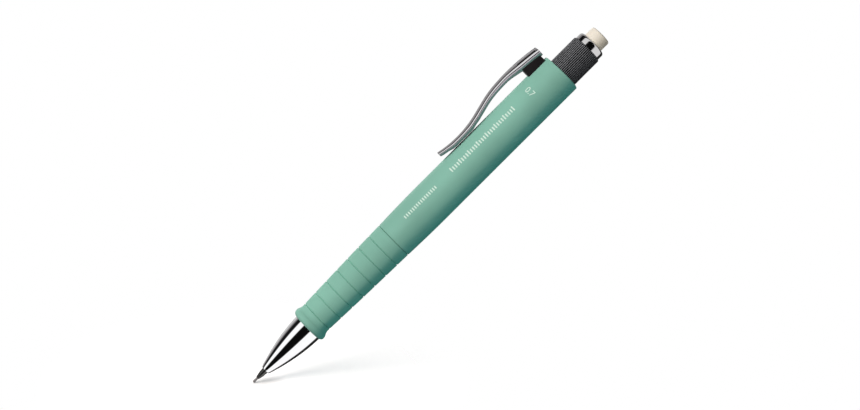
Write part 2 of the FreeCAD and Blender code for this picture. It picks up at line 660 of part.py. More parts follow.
side_profile(arm, "arm_inside", [
    (arm_cut_front, arm_cut_low),
    (arm_cut_back, arm_cut_low),
    (arm_cut_back, dim.clip_split_top - dim.clip_sheet, dim.clip_hump_curve, RIGHT),
    (dim.clip_hump_x, dim.clip_hump_top - dim.clip_sheet, dim.clip_rise_curve, RIGHT),
    (dim.clip_rise_x, dim.clip_rise_top - dim.clip_sheet),
    (dim.clip_bend_x, dim.clip_bend_top - dim.clip_sheet),
    (dim.clip_touch_x + dim.clip_touch_half, dim.clip_touch_low + dim.clip_touch_rise_back),
    (dim.clip_touch_x + dim.clip_touch_flat, dim.clip_touch_low),
    (dim.clip_touch_x - dim.clip_touch_flat, dim.clip_touch_low),
    (dim.clip_touch_x - dim.clip_touch_half, dim.clip_touch_low + dim.clip_touch_rise_front),
    (arm_cut_front, dim.clip_front_top - dim.clip_sheet - dim.clip_front_drop)],
    block_room, cut=True)

# ----------------------------------------------------------------------
# eraser unit
# ----------------------------------------------------------------------
# twist stem: plugs the lead tube and guides the eraser cup in its slot,
# which is on the side away from the clip
stem = turned_body("twist_stem", "stem_turning", [
    (dim.stem_spigot_x, 0.0),
    (dim.stem_spigot_x, dim.stem_spigot_rad - dim.stem_spigot_bevel),
    (dim.stem_spigot_x + dim.stem_spigot_bevel, dim.stem_spigot_rad),
    (dim.stem_flange_x, dim.stem_spigot_rad),
    (dim.stem_flange_x, dim.stem_flange_rad),
    (dim.stem_tube_x, dim.stem_flange_rad),
    (dim.stem_tube_x, dim.stem_tube_rad),
    (dim.stem_back_x, dim.stem_tube_rad),
    (dim.stem_back_x, dim.stem_tube_in),
    (dim.stem_tube_x, dim.stem_tube_in),
    (dim.stem_tube_x, 0.0)])
side_profile(stem, "stem_slot", rectangle(
    dim.stem_slot_x, dim.stem_slot_back,
    -dim.stem_tube_rad * dim.stem_slot_out_ratio,
    -dim.stem_tube_in * dim.stem_slot_in_ratio), dim.stem_slot_width, cut=True)


def make_knob():
    """Thin front sleeve inside the barrel, knurled rear for the fingers."""
    body = turned_body("knob", "knob_turning", [
        (dim.knob_x, dim.knob_lip_rad),
        (dim.knob_x, dim.knob_hidden_rad - dim.knob_front_bevel),
        (dim.knob_x + dim.knob_front_bevel, dim.knob_hidden_rad),
        (dim.knurl_x, dim.knob_hidden_rad),
        (dim.knurl_x, dim.knurl_rad - dim.knurl_bevel),
        (dim.knurl_x + dim.knurl_bevel, dim.knurl_rad),
        (dim.knob_back_x - dim.knob_bevel, dim.knurl_rad),
        (dim.knob_back_x, dim.knurl_rad - dim.knob_bevel),
        (dim.knob_back_x, dim.knob_bore_rad),
        (dim.knob_lip_x, dim.knob_bore_rad),
        (dim.knob_lip_x, dim.knob_lip_rad)])
    doc.recompute()
    smooth_volume = body.Shape.Volume

    # one V-shaped flute, cut from just before the knurl to past the back
    sketch = cross_sketch(body, "flute_outline", dim.knurl_x - dim.flute_lead)
    flute_top = dim.knurl_rad + dim.flute_rise
    outline(sketch, [
        (dim.knurl_rad - dim.knurl_depth, 0.0),
        (flute_top, dim.knurl_half_width),
        (flute_top, -dim.knurl_half_width)])
    flute_len = dim.knob_back_x - dim.knurl_x + dim.flute_overrun
    flute = body.newObject("PartDesign::Pocket", "flute")
    flute.Profile = sketch
    flute.Length = flute_len.value
    bind(flute, "Length", flute_len)
    flute.Reversed = True  # towards the back
    doc.recompute()

    flutes = body.newObject("PartDesign::PolarPattern", "flutes")
    flutes.Originals = [flute]
    flutes.Axis = (sketch, ["N_Axis"])
    flutes.Angle = 360.0
    flutes.Occurrences = int(dim.knurl_count.value)
    bind(flutes, "Occurrences", dim.knurl_count)
    body.Tip = flutes
    doc.recompute()
    least_cut = 5.0  # mm3
    if not body.Shape.Volume < smooth_volume - least_cut:
        raise RuntimeError("the knob flutes cut nothing")


make_knob()

# collar that closes the knob
turned_body("knob_collar", "collar_turning", [
    (dim.collar_x, dim.collar_spigot_bore),
    (dim.collar_x, dim.collar_spigot_rad),
    (dim.collar_step_x, dim.collar_spigot_rad),
    (dim.collar_step_x, dim.collar_rad),
    (dim.collar_back_x - dim.collar_round, dim.collar_rad, dim.collar_round, LEFT),
    (dim.collar_back_x, dim.collar_rad - dim.collar_round),
    (dim.collar_back_x, dim.collar_hole_rad),
    (dim.collar_step_x, dim.collar_hole_rad),
    (dim.collar_step_x, dim.collar_spigot_bore)])

# spiral coil: fixed in the knob, drives the eraser cup along the slot
coil_body("spiral_coil", "spiral_coil_wire", x=dim.coil_x, radius=dim.coil_rad,
          wire=dim.coil_wire, pitch=dim.coil_pitch, length=dim.coil_len)

# eraser holder: cup with a lug that runs in the slot and the spiral
cup_floor_x = dim.cup_x + dim.cup_floor
holder = turned_body("eraser_holder", "cup_turning", [
    (dim.cup_x, 0.0),
    (dim.cup_x, dim.cup_rad - dim.cup_bevel),
    (dim.cup_x + dim.cup_bevel, dim.cup_rad),
    (dim.cup_back_x, dim.cup_rad),
    (dim.cup_back_x, dim.cup_bore_rad),
    (cup_floor_x, dim.cup_bore_rad),
    (cup_floor_x, 0.0)])
side_profile(holder, "cup_lug", rectangle(
    dim.lug_x, dim.lug_x + dim.lug_len,
    -dim.lug_reach, -dim.cup_bore_rad - dim.lug_root), dim.lug_width)

# eraser with a slightly rounded end and a foot pressed in the cup
foot_x = cup_floor_x + dim.end_gap
rubber_x = dim.cup_back_x + dim.slip
turned_body("eraser", "eraser_stick", [
    (foot_x, 0.0),
    (foot_x, dim.rubber_foot_rad),
    (rubber_x, dim.rubber_foot_rad),
    (rubber_x, dim.rubber_rad),
    (dim.total_len - dim.rubber_round, dim.rubber_rad, dim.rubber_round, LEFT),
    (dim.total_len, dim.rubber_rad - dim.rubber_round),
    (dim.total_len, 0.0)])

# ----------------------------------------------------------------------
# recompute, test and write
# ----------------------------------------------------------------------
doc.recompute()
for obj in doc.Objects:
    if "Invalid" in obj.State or "Error" in obj.State:
        raise RuntimeError("failed object: %s %s" % (obj.Name, obj.State))
for body in bodies:
    shape = body.Shape
    if shape.isNull() or not shape.isValid() or not shape.Solids:
        raise RuntimeError("bad shape: " + body.Label)
    wanted = SPARE_COUNT if body.Label == "spare_leads" else 1
    if len(shape.Solids) != wanted:
        raise RuntimeError("%s has %d solids" % (body.Label, len(shape.Solids)))
for body in bodies:
    body.Shape.exportStep("parts/%s.step" % body.Label)
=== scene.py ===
"""Mechanical pencil with a clip, a fluted knob and an eraser.

The pencil lies along X with its writing end at low X.  The clip stands on the +Z side
and the camera looks from -Y.  Profiles are in mm: the place along the pencil, counted
from the writing end, and the radius.  at_x() and MM turn them into metres.
"""
import json
import math

import bmesh
import bpy
from mathutils import Matrix, Vector


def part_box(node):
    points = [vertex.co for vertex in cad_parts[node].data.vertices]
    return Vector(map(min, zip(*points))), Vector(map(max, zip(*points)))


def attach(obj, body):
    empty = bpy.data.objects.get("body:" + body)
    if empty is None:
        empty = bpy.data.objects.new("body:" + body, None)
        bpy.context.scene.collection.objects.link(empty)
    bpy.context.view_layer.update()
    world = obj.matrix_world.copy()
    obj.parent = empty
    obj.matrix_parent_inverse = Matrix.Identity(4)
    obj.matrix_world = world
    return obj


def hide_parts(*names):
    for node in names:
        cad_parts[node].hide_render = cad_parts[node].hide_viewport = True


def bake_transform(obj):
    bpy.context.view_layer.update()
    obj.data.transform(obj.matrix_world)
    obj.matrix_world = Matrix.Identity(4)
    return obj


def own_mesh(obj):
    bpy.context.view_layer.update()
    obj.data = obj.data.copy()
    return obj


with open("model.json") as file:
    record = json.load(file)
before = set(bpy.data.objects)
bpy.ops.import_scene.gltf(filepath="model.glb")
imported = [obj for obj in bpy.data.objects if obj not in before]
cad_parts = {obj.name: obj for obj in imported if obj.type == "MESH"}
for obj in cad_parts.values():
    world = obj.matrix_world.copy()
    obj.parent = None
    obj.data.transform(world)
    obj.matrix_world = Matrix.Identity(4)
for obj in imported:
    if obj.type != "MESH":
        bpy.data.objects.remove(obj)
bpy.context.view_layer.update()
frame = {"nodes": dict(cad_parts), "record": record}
scene = bpy.context.scene

# ---------------------------------------------------------------------
# shared dimensions, mm
# ---------------------------------------------------------------------
MM = 0.001
START_X = float(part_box("lead")[0][0])           # the writing end, in metres
PENCIL_LENGTH = (float(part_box("eraser")[1][0]) - START_X) / MM
LEAD_RADIUS = float(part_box("lead")[1][2]) / MM

JOINT_RADIUS = 5.88                             # outside, where grip and barrel meet
BARREL_START = 57.02                            # first place on the barrel's outside
BARREL_RADIUS = 6.18
BARREL_FULL = 72.0                              # the barrel reaches its radius here
BORE_RADIUS = 4.99                              # inside of the barrel, around the knob
SLOT_START, SLOT_END = 116.7, 123.4             # slot in the barrel under the clip
SLOT_HALF_WIDTH = 2.13
FLUTES = 56                                     # around the knob
CLIP_LIFT = 0.38                                # added to the heights of the clip and its block


def at_x(place):
    return START_X + place * MM


# ---------------------------------------------------------------------
# outlines
# ---------------------------------------------------------------------
def smoothstep(t):
    t = max(0.0, min(1.0, t))
    return t * t * (3 - 2 * t)


def spaced(first, last, steps):
    return [first + (last - first) * k / steps for k in range(steps + 1)]


def line(start, end, steps):
    return list(zip(spaced(start[0], end[0], steps), spaced(start[1], end[1], steps)))


def bezier(start, handle, end, steps):
    """Quadratic curve through start and end."""
    curve = []
    for k in range(steps + 1):
        t = k / steps
        curve.append(tuple((1 - t) ** 2 * start[i] + 2 * t * (1 - t) * handle[i] + t * t * end[i]
                           for i in range(2)))
    return curve


def arc_centre(start, end, radius, side):
    """Centre of the arc from start to end that bulges to the left (+1) or right (-1)."""
    start, end = Vector(start), Vector(end)
    half = (end - start) * 0.5
    left = Vector((-half.y, half.x)).normalized()
    return (start + end) * 0.5 - left * (math.sqrt(radius ** 2 - half.length ** 2) * side)


def arc_about(centre, start, end, radius, steps):
    """The shorter arc about centre, from the direction of start to that of end."""
    first = math.atan2(start.y - centre.y, start.x - centre.x)
    last = math.atan2(end.y - centre.y, end.x - centre.x)
    turn = (last - first + math.pi) % (2 * math.pi) - math.pi
    angles = [first + turn * k / steps for k in range(steps + 1)]
    return [(centre.x + radius * math.cos(a), centre.y + radius * math.sin(a)) for a in angles]


def arc(start, end, radius, side, steps):
    centre = arc_centre(start, end, radius, side)
    return arc_about(centre, Vector(start), Vector(end), radius, steps)


def rounded(points, steps):
    """Closed outline of (x, radius[, fillet]): corners with a fillet become arcs."""
    outline = []
    for i, point in enumerate(points):
        if len(point) < 3:
            outline.append(point)
            continue
        corner = Vector(point[:2])
        back = Vector(points[i - 1][:2]) - corner
        ahead = Vector(points[(i + 1) % len(points)][:2]) - corner
        back_length, ahead_length = back.length, ahead.length
        back.normalize()
        ahead.normalize()
        half_angle = math.acos(max(-1, min(1, back.dot(ahead)))) / 2
        # a fillet takes up less than half of either side
        reach = min(point[2] / math.tan(half_angle), back_length * 0.49, ahead_length * 0.49)
        fillet = reach * math.tan(half_angle)
        centre = corner + (back + ahead).normalized() * (fillet / math.sin(half_angle))
        outline += arc_about(centre, corner + back * reach, corner + ahead * reach, fillet, steps)
    return outline


def round_off(distance, radius):
    """Amount a rounded corner takes off, at a distance in from the end."""
    if distance >= radius:
        return 0.0
    return radius - math.sqrt(max(0.0, radius * radius - (radius - distance) ** 2))


# ---------------------------------------------------------------------
# meshes
# ---------------------------------------------------------------------
def new_object(name, bm, sharp=30.0):
    """Smooth shaded object; edges that bend more than sharp degrees stay crisp."""
    bmesh.ops.recalc_face_normals(bm, faces=bm.faces)
    for face in bm.faces:
        face.smooth = True
    limit = math.radians(sharp)
    for edge in bm.edges:
        if len(edge.link_faces) == 2 and edge.calc_face_angle(0.0) > limit:
            edge.smooth = False
    mesh = bpy.data.meshes.new(name)
    bm.to_mesh(mesh)
    bm.free()
    ob = bpy.data.objects.new(name, mesh)
    scene.collection.objects.link(ob)
    return ob


def bridge(bm, ring, following):
    for k in range(len(ring)):
        k2 = (k + 1) % len(ring)
        bm.faces.new((ring[k], ring[k2], following[k2], following[k]))


def skin(bm, rings):
    """Closed solid through a row of rings."""
    for ring, following in zip(rings, rings[1:]):
        bridge(bm, ring, following)
    bm.faces.new(rings[0][::-1])
    bm.faces.new(rings[-1])


def three_sided(r, depth, angle):
    """Point of a soft three-sided outline of even width 2r, one corner at +Z."""
    reach = r - depth * math.sin(3 * angle)
    slope = -3 * depth * math.cos(3 * angle)
    return (reach * math.cos(angle) - slope * math.sin(angle),
            reach * math.sin(angle) + slope * math.cos(angle))


def lathe(name, points, segments=192, shape=None, sharp=30.0, lobes=None):
    """Turned solid about the pencil's axis.  shape(x, angle, r) may change r,
    lobes(x, r) gives the depth of a soft three-sided outline."""
    bm = bmesh.new()
    rings = []
    for x, r in points:
        if r < 1e-6:
            rings.append([bm.verts.new((at_x(x), 0, 0))])
            continue
        ring = []
        for k in range(segments):
            angle = 2 * math.pi * k / segments
            radius = shape(x, angle, r) if shape else r
            y, z = three_sided(radius, lobes(x, radius) if lobes else 0.0, angle)
            ring.append(bm.verts.new((at_x(x), y * MM, z * MM)))
        rings.append(ring)
    for ring, following in zip(rings, rings[1:] + rings[:1]):
        if len(ring) == 1 and len(following) == 1:
            continue
        if len(ring) > 1 and len(following) > 1:
            bridge(bm, ring, following)
            continue
        for k in range(segments):
            k2 = (k + 1) % segments
            if len(ring) == 1:
                bm.faces.new((ring[0], following[k], following[k2]))
            else:
                bm.faces.new((ring[k], ring[k2], following[0]))
    bmesh.ops.remove_doubles(bm, verts=bm.verts, dist=1e-8)
    return new_object(name, bm, sharp)


def cut_away(ob, cutter):
    """Subtract cutter from ob for good and delete cutter."""
    cut = ob.modifiers.new("cut", "BOOLEAN")
    cut.operation = "DIFFERENCE"
    cut.solver = "EXACT"
    cut.object = cutter
    bpy.context.view_layer.update()
    evaluated = ob.evaluated_get(bpy.context.evaluated_depsgraph_get())
    mesh = bpy.data.meshes.new_from_object(evaluated)
    ob.modifiers.clear()
    old = ob.data
    ob.data = mesh
    mesh.name = old.name
    bpy.data.meshes.remove(old)
    bpy.data.objects.remove(cutter)


# ---------------------------------------------------------------------
# shader helpers
# ---------------------------------------------------------------------
def srgb(*channels):
    """Linear colour from 0..255 screen values."""
    def linear(c):
        c /= 255.0
        return c / 12.92 if c <= 0.04045 else ((c + 0.055) / 1.055) ** 2.4
    return tuple(linear(c) for c in channels) + (1.0,)


def tone(color, gain, lift=0.0):
    """The colour made lighter or darker."""
    return tuple(min(1, c * gain + lift) for c in color[:3]) + (1,)


class Shader:
    """Short calls that add nodes to the tree of a material or world."""

    def __init__(self, owner, empty=False):
        owner.use_nodes = True
        self.tree = owner.node_tree
        if empty:
            self.tree.nodes.clear()
        self.coord = self.node("ShaderNodeTexCoord")

    def node(self, kind, inputs=None, **settings):
        node = self.tree.nodes.new(kind)
        for key, value in settings.items():
            setattr(node, key, value)
        for key, value in (inputs or {}).items():
            self.feed(node.inputs[key], value)
        return node

    def feed(self, socket, value):
        """Link another node's output, or set a plain value."""
        if isinstance(value, bpy.types.NodeSocket):
            self.tree.links.new(value, socket)
        else:
            socket.default_value = value

    def noise(self, scale, detail=3.0, rough=0.5, vector=None):
        return self.node("ShaderNodeTexNoise", {
            "Scale": scale, "Detail": detail, "Roughness": rough,
            "Vector": vector or self.coord.outputs["Object"]}).outputs["Fac"]

    def stretched(self, scale):
        """Object coordinates scaled per axis; a low X draws a texture out lengthwise."""
        return self.node("ShaderNodeMapping", {
            "Scale": scale, "Vector": self.coord.outputs["Object"]}).outputs["Vector"]

    def remap(self, value, over, to=(0.0, 1.0)):
        return self.node("ShaderNodeMapRange", {
            "From Min": over[0], "From Max": over[1], "To Min": to[0], "To Max": to[1],
            "Value": value}).outputs["Result"]

    def mix(self, amount, color, other):
        # sockets 0, 6, 7 and output 2 are the colour version of the mix node
        return self.node("ShaderNodeMix", {0: amount, 6: color, 7: other},
                         data_type="RGBA", blend_type="MIX").outputs[2]

    def math(self, operation, *values):
        return self.node("ShaderNodeMath", dict(enumerate(values)),
                         operation=operation).outputs[0]

    def split(self, vector):
        return self.node("ShaderNodeSeparateXYZ", {"Vector": vector}).outputs

    def bump(self, height, strength, distance=0.00001, below=None):
        inputs = {"Strength": strength, "Distance": distance, "Height": height}
        if below:
            inputs["Normal"] = below
        return self.node("ShaderNodeBump", inputs).outputs["Normal"]

    def convex_edges(self, radius):
        """Bright on convex edges: the bevelled normal differs from the true one."""
        bevel = self.node("ShaderNodeBevel", {"Radius": radius}, samples=4)
        geometry = self.node("ShaderNodeNewGeometry")
        dot = self.node("ShaderNodeVectorMath", {
            0: bevel.outputs["Normal"], 1: geometry.outputs["Normal"]}, operation="DOT_PRODUCT")
        return self.remap(self.math("SUBTRACT", 1.0, dot.outputs["Value"]), over=(0.02, 0.25))

    def lighten_edges(self, color, radius, amount, edge_color):
        edge = self.convex_edges(radius=radius)
        return self.mix(self.math("MULTIPLY", edge, amount), color, edge_color)


class Look(Shader):
    """A material with a principled surface."""

    def __init__(self, name):
        self.material = bpy.data.materials.new(name)
        super().__init__(self.material)
        self.surface = next(n for n in self.tree.nodes if n.type == "BSDF_PRINCIPLED")

    def set(self, name, value):
        self.feed(self.surface.inputs[name], value)

    def scatter(self, weight, radius):
        self.set("Subsurface Weight", weight)
        self.set("Subsurface Radius", radius)


# ---------------------------------------------------------------------
# materials
# ---------------------------------------------------------------------
def satin_green(name, base, rough, grain, wear):
    look = Look(name)
    cloud = look.noise(scale=55.0)
    fine = look.noise(scale=900.0, detail=4.0, rough=0.6)
    color = look.mix(look.remap(cloud, over=(0.35, 0.65)), tone(base, gain=0.93),
                     tone(base, gain=1.05))
    speck = look.remap(fine, over=(0.66, 0.74), to=(0.0, 0.10))
    color = look.mix(speck, color, tone(base, gain=1.25, lift=0.02))
    look.set("Base Color", look.lighten_edges(color, radius=0.00016, amount=0.22 * wear,
                                              edge_color=tone(base, gain=1.35, lift=0.03)))
    # faint handling marks, drawn out along the barrel
    rub_and_highlight_noise = look.noise(scale=420.0, detail=2.0, vector=look.stretched((0.12, 1.0, 1.0)))
    smudge = look.noise(scale=90.0, detail=4.0, rough=0.6)
    look.set("Roughness", look.math(
        "ADD", look.remap(rub_and_highlight_noise, over=(0.3, 0.7), to=(rough - 0.05, rough + 0.05)),
        look.remap(smudge, over=(0.35, 0.65), to=(-0.03, 0.03))))
    look.set("Specular IOR Level", 0.30)
    grained = look.bump(look.noise(scale=grain, detail=2.0), strength=0.22, distance=0.000012)
    look.set("Normal", look.bump(rub_and_highlight_noise, strength=0.08, below=grained))
    look.scatter(weight=0.03, radius=(0.0004, 0.0006, 0.0005))
    return look.material


def chrome(name, tint, rough, painted_shade_below=None):
    look = Look(name)
    look.set("Metallic", 1.0)
    haze = look.noise(scale=260.0, detail=4.0, rough=0.6)
    color = look.mix(look.remap(haze, over=(0.4, 0.75), to=(0.0, 0.5)), tint,
                     tone(tint, gain=0.93))
    if painted_shade_below:
        # painted shade: faces that look down to the barrel get a darker tint
        geometry = look.node("ShaderNodeNewGeometry")
        facing_z = look.split(geometry.outputs["Normal"])["Z"]
        color = look.mix(look.remap(facing_z, over=(-0.28, -0.44)), color, painted_shade_below)
    look.set("Base Color", color)
    streak = look.noise(scale=700.0, detail=2.0, vector=look.stretched((0.05, 1, 1)))
    look.set("Roughness", look.math(
        "ADD", look.remap(haze, over=(0.45, 0.75), to=(rough, rough + 0.025)),
        look.remap(streak, over=(0.55, 0.8), to=(0.0, 0.02))))
    look.set("Normal", look.bump(look.noise(scale=1500.0, detail=2.0), strength=0.015))
    return look.material


def rubbed_edges(look, color, base):
    return look.lighten_edges(color, radius=0.00008, amount=0.35,
                              edge_color=tone(base, gain=2.6, lift=0.02))


def painted_rib_highlights(look, color, base):
    """Painted highlight: the ribs of the knob are lighter than the bottoms between them."""
    place = look.split(look.coord.outputs["Object"])
    turn = look.math("ARCTAN2", place["Z"], place["Y"])
    flute = look.math("MULTIPLY", turn, FLUTES / (2 * math.pi))
    # a whole number of flutes is added only to keep the count positive
    phase = look.math("FRACT", look.math("ADD", flute, 8.0))
    from_bottom = look.math("ABSOLUTE", look.math("SUBTRACT", phase, 0.5))
    rib = look.remap(from_bottom, over=(0.34, 0.43))
    fluted_part = look.math("GREATER_THAN", place["X"], at_x(123.7))
    # noise varies the strength of the painted rib highlight
    rub_and_highlight_noise = look.remap(look.noise(scale=300.0, detail=2.0), over=(0.3, 0.7), to=(0.8, 1.0))
    amount = look.math("MULTIPLY", look.math("MULTIPLY", rib, fluted_part), rub_and_highlight_noise)
    return look.mix(amount, color, srgb(172, 178, 186))


def dark_plastic(name, base, rough, wear_and_highlight, specular, dust_scale, grain_scale, grain_strength):
    """The passed function adds rubbed edges; for the knob it adds a painted highlight on the
    ribs.
    """
    look = Look(name)
    cloud = look.noise(scale=160.0, rough=0.55)
    color = look.mix(look.remap(cloud, over=(0.35, 0.7)), base, tone(base, gain=1.35, lift=0.003))
    look.set("Base Color", wear_and_highlight(look, color, base))
    dust = look.noise(scale=dust_scale, rough=0.6)
    look.set("Roughness", look.remap(dust, over=(0.3, 0.7), to=(rough - 0.05, rough + 0.08)))
    look.set("Specular IOR Level", specular)
    look.set("Normal", look.bump(look.noise(scale=grain_scale, detail=2.0),
                                 strength=grain_strength, distance=0.000006))
    return look.material


def rubber_cream(name):
    look = Look(name)
    cloud = look.noise(scale=210.0, detail=4.0, rough=0.6)
    color = look.mix(look.remap(cloud, over=(0.35, 0.7)), (0.85, 0.84, 0.775, 1.0),
                     (0.81, 0.795, 0.72, 1.0))
    # the working end is slightly soiled by graphite
    place = look.split(look.coord.outputs["Object"])
    end = look.remap(place["X"], over=(at_x(PENCIL_LENGTH - 0.9), at_x(PENCIL_LENGTH)))
    smear = look.remap(look.noise(scale=1200.0, detail=5.0, rough=0.65),
                       over=(0.45, 0.75), to=(0.0, 0.05))
    color = look.mix(look.math("MULTIPLY", end, smear), color, srgb(120, 118, 112))
    look.set("Base Color", color)
    look.set("Roughness", look.remap(look.noise(scale=3000.0, rough=0.6),
                                     over=(0.3, 0.7), to=(0.62, 0.8)))
    look.set("Specular IOR Level", 0.3)
    look.scatter(weight=0.02, radius=(0.0012, 0.0009, 0.0006))
    look.set("Normal", look.bump(look.noise(scale=1400.0, rough=0.6), strength=0.03))
    return look.material


def turned_metal(name, base, rough, pitch, groove, wear=0.0):
    look = Look(name)
    look.set("Metallic", 1.0)
    # lathe lines: evenly spaced bands along the axis
    wave = look.node("ShaderNodeTexWave", {
        "Scale": pitch, "Distortion": 1.5, "Detail": 2.0,
        "Vector": look.coord.outputs["Object"]}, wave_type="BANDS", bands_direction="X")
    cloud = look.noise(scale=300.0, detail=4.0, rough=0.6)
    color = look.mix(look.remap(cloud, over=(0.35, 0.7)), base, tone(base, gain=0.78))
    if wear:
        color = look.lighten_edges(color, radius=0.00005, amount=wear,
                                   edge_color=tone(base, gain=2.2, lift=0.08))
    look.set("Base Color", color)
    look.set("Roughness", look.remap(cloud, over=(0.3, 0.7), to=(rough - 0.05, rough + 0.1)))
    look.set("Normal", look.bump(wave.outputs["Fac"], strength=groove))
    return look.material


def inner_white(name):
    look = Look(name)
    cloud = look.noise(scale=200.0)
    look.set("Base Color", look.mix(look.remap(cloud, over=(0.35, 0.65)),
                                    srgb(226, 224, 214), srgb(214, 211, 200)))
    look.set("Roughness", look.remap(look.noise(scale=1500.0), over=(0.3, 0.7), to=(0.42, 0.55)))
    look.scatter(weight=0.1, radius=(0.0008, 0.0008, 0.0007))
    look.set("Normal", look.bump(look.noise(scale=5000.0, detail=2.0), strength=0.15))
    return look.material


def graphite(name):
    look = Look(name)
    cloud = look.noise(scale=5200.0, rough=0.6)
    look.set("Base Color", look.mix(look.remap(cloud, over=(0.35, 0.7)),
                                    srgb(138, 136, 138), srgb(172, 169, 171)))
    look.set("Metallic", 0.35)
    look.set("Roughness", look.remap(cloud, over=(0.3, 0.7), to=(0.34, 0.52)))
    look.set("Normal", look.bump(look.noise(scale=9000.0, rough=0.6), strength=0.4))
    return look.material


def black_rubber(name):
    look = Look(name)
    cloud = look.noise(scale=900.0, rough=0.6)
    look.set("Base Color", look.mix(cloud, srgb(34, 34, 34), srgb(52, 52, 52)))
    look.set("Roughness", 0.75)
    look.set("Normal", look.bump(look.noise(scale=6000.0), strength=0.4, distance=0.00002))
    return look.material


def print_ink(name):
    look = Look(name)
    wear_and_highlight = look.noise(scale=1800.0, detail=4.0, rough=0.65)
    look.set("Base Color", look.mix(look.remap(wear_and_highlight, over=(0.45, 0.8)),
                                    (0.72, 0.95, 0.87, 1.0), (0.60, 0.84, 0.75, 1.0)))
    look.set("Roughness", look.remap(wear_and_highlight, over=(0.3, 0.7), to=(0.4, 0.55)))
    look.set("Normal", look.bump(wear_and_highlight, strength=0.2))
    return look.material


LOOKS = {
    "barrel_plastic": satin_green("barrel_plastic_look", base=(0.250, 0.545, 0.455, 1.0),
                                  rough=0.40, grain=5200.0, wear=0.5),
    "grip_plastic": satin_green("grip_plastic_look", base=(0.247, 0.540, 0.450, 1.0),
                                rough=0.50, grain=4200.0, wear=0.8),
    "black_plastic": dark_plastic("black_plastic_look", base=srgb(30, 28, 30), rough=0.36,
                                  wear_and_highlight=rubbed_edges, specular=0.4, dust_scale=2600.0,
                                  grain_scale=3000.0, grain_strength=0.25),
    # the knob gets a painted highlight on its ribs
    "knob_plastic": dark_plastic("knob_plastic_look", base=srgb(18, 19, 21), rough=0.42,
                                 wear_and_highlight=painted_rib_highlights, specular=0.28, dust_scale=700.0,
                                 grain_scale=900.0, grain_strength=0.01),
    "bright_chrome": chrome("bright_chrome_look", tint=(0.86, 0.86, 0.87, 1), rough=0.02),
    # the clip's downward faces get painted shade
    "clip_chrome": chrome("clip_chrome_look", tint=(0.64, 0.63, 0.64, 1), rough=0.07,
                          painted_shade_below=(0.37, 0.34, 0.38, 1)),
    "collar_chrome": chrome("collar_chrome_look", tint=(0.56, 0.55, 0.55, 1), rough=0.11),
    "dark_metal": turned_metal("dark_metal_look", base=srgb(94, 94, 92), rough=0.10,
                               pitch=2200.0, groove=0.04, wear=0.5),
    "graphite": graphite("graphite_look"),
    "eraser_vinyl": rubber_cream("eraser_vinyl_look"),
    "soft_rubber": black_rubber("soft_rubber_look"),
    "spring_steel": turned_metal("spring_steel_look", base=srgb(176, 176, 178), rough=0.25,
                                 pitch=4000.0, groove=0.06),
    "brass_parts": turned_metal("brass_parts_look", base=srgb(214, 178, 98), rough=0.22,
                                pitch=2600.0, groove=0.12),
    "inner_plastic": inner_white("inner_plastic_look"),
    "print_ink": print_ink("print_ink_look"),
}


def dress_cad_nodes():
    """Every carried-over CAD node gets the look of its own slot."""
    for row in frame["record"]["subparts"]:
        ob = frame["nodes"].get(row["node"])
        if ob is None:
            continue
        look = LOOKS[row["material_slot"]]
        if not ob.material_slots:
            ob.data.materials.append(look)
        for slot in ob.material_slots:
            slot.material = look


def finish_piece(ob, look, body, slot, *nodes):
    """Give a piece its look, the body it rides on and the CAD nodes it replaces."""
    ob.data.materials.clear()
    ob.data.materials.append(LOOKS[look])
    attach(ob, body)
    if nodes:
        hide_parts(*nodes)


dress_cad_nodes()

# ---------------------------------------------------------------------
# lead and nose sleeve
# ---------------------------------------------------------------------
LEAD_LENGTH = 60.0
LEAD_CHAMFER = (0.15, 0.13)         # along the lead, across it

lead = lathe("lead_stick", rounded([
    (0.0, 0.0), (0.0, LEAD_RADIUS - LEAD_CHAMFER[1], 0.03), (LEAD_CHAMFER[0], LEAD_RADIUS, 0.05),
    (LEAD_LENGTH, LEAD_RADIUS, 0.03), (LEAD_LENGTH, 0.0)], steps=3), segments=48)
finish_piece(lead, "graphite", "lead", "graphite", "lead")

# x, radius, fillet: out along the tapered tube and its flange, back along the bore
SLEEVE_OUTLINE = [
    (1.62, 0.40, 0.03), (1.62, 0.50, 0.05), (3.2, 0.86, 0.6), (4.6, 0.95, 0.05),
    (4.66, 0.98, 0.05), (8.62, 0.98), (8.62, 2.05, 0.06), (9.60, 2.05, 0.06),
    (9.60, 1.25), (12.3, 1.25, 0.08), (12.3, 0.92, 0.04), (10.1, 0.92), (10.1, 0.40),
]
sleeve = lathe("sleeve_tip", rounded(SLEEVE_OUTLINE, steps=5), segments=96)
finish_piece(sleeve, "dark_metal", "nose_sleeve", "dark_metal", "nose_sleeve")

# ---------------------------------------------------------------------
# nose cone: bright shell with a lip at the tip and a threaded spigot
# ---------------------------------------------------------------------
CONE_START = 4.8
CONE_RADIUS = 4.53
CONE_BORE_RADIUS = 2.15
CONE_HOLE_RADIUS = 1.05             # hole in the tip
SPIGOT_RADIUS = 3.30
THREAD_START, THREAD_END = 26.6, 29.9
THREAD_PITCH = 0.75
THREAD_DEPTH = 0.17
THREAD_FADE = 0.4                   # the thread runs out over this length at both ends


def threaded(x, angle, r):
    """Cuts the thread into the outside of the spigot."""
    if not (THREAD_START < x < THREAD_END and r > 3.0):
        return r
    fade = min(1.0, (x - THREAD_START) / THREAD_FADE, (THREAD_END - x) / THREAD_FADE)
    phase = (x / THREAD_PITCH - angle / (2 * math.pi)) % 1.0
    groove = abs(phase - 0.5) * 2.0
    return r - THREAD_DEPTH * fade * min(1.0, groove * 1.15)


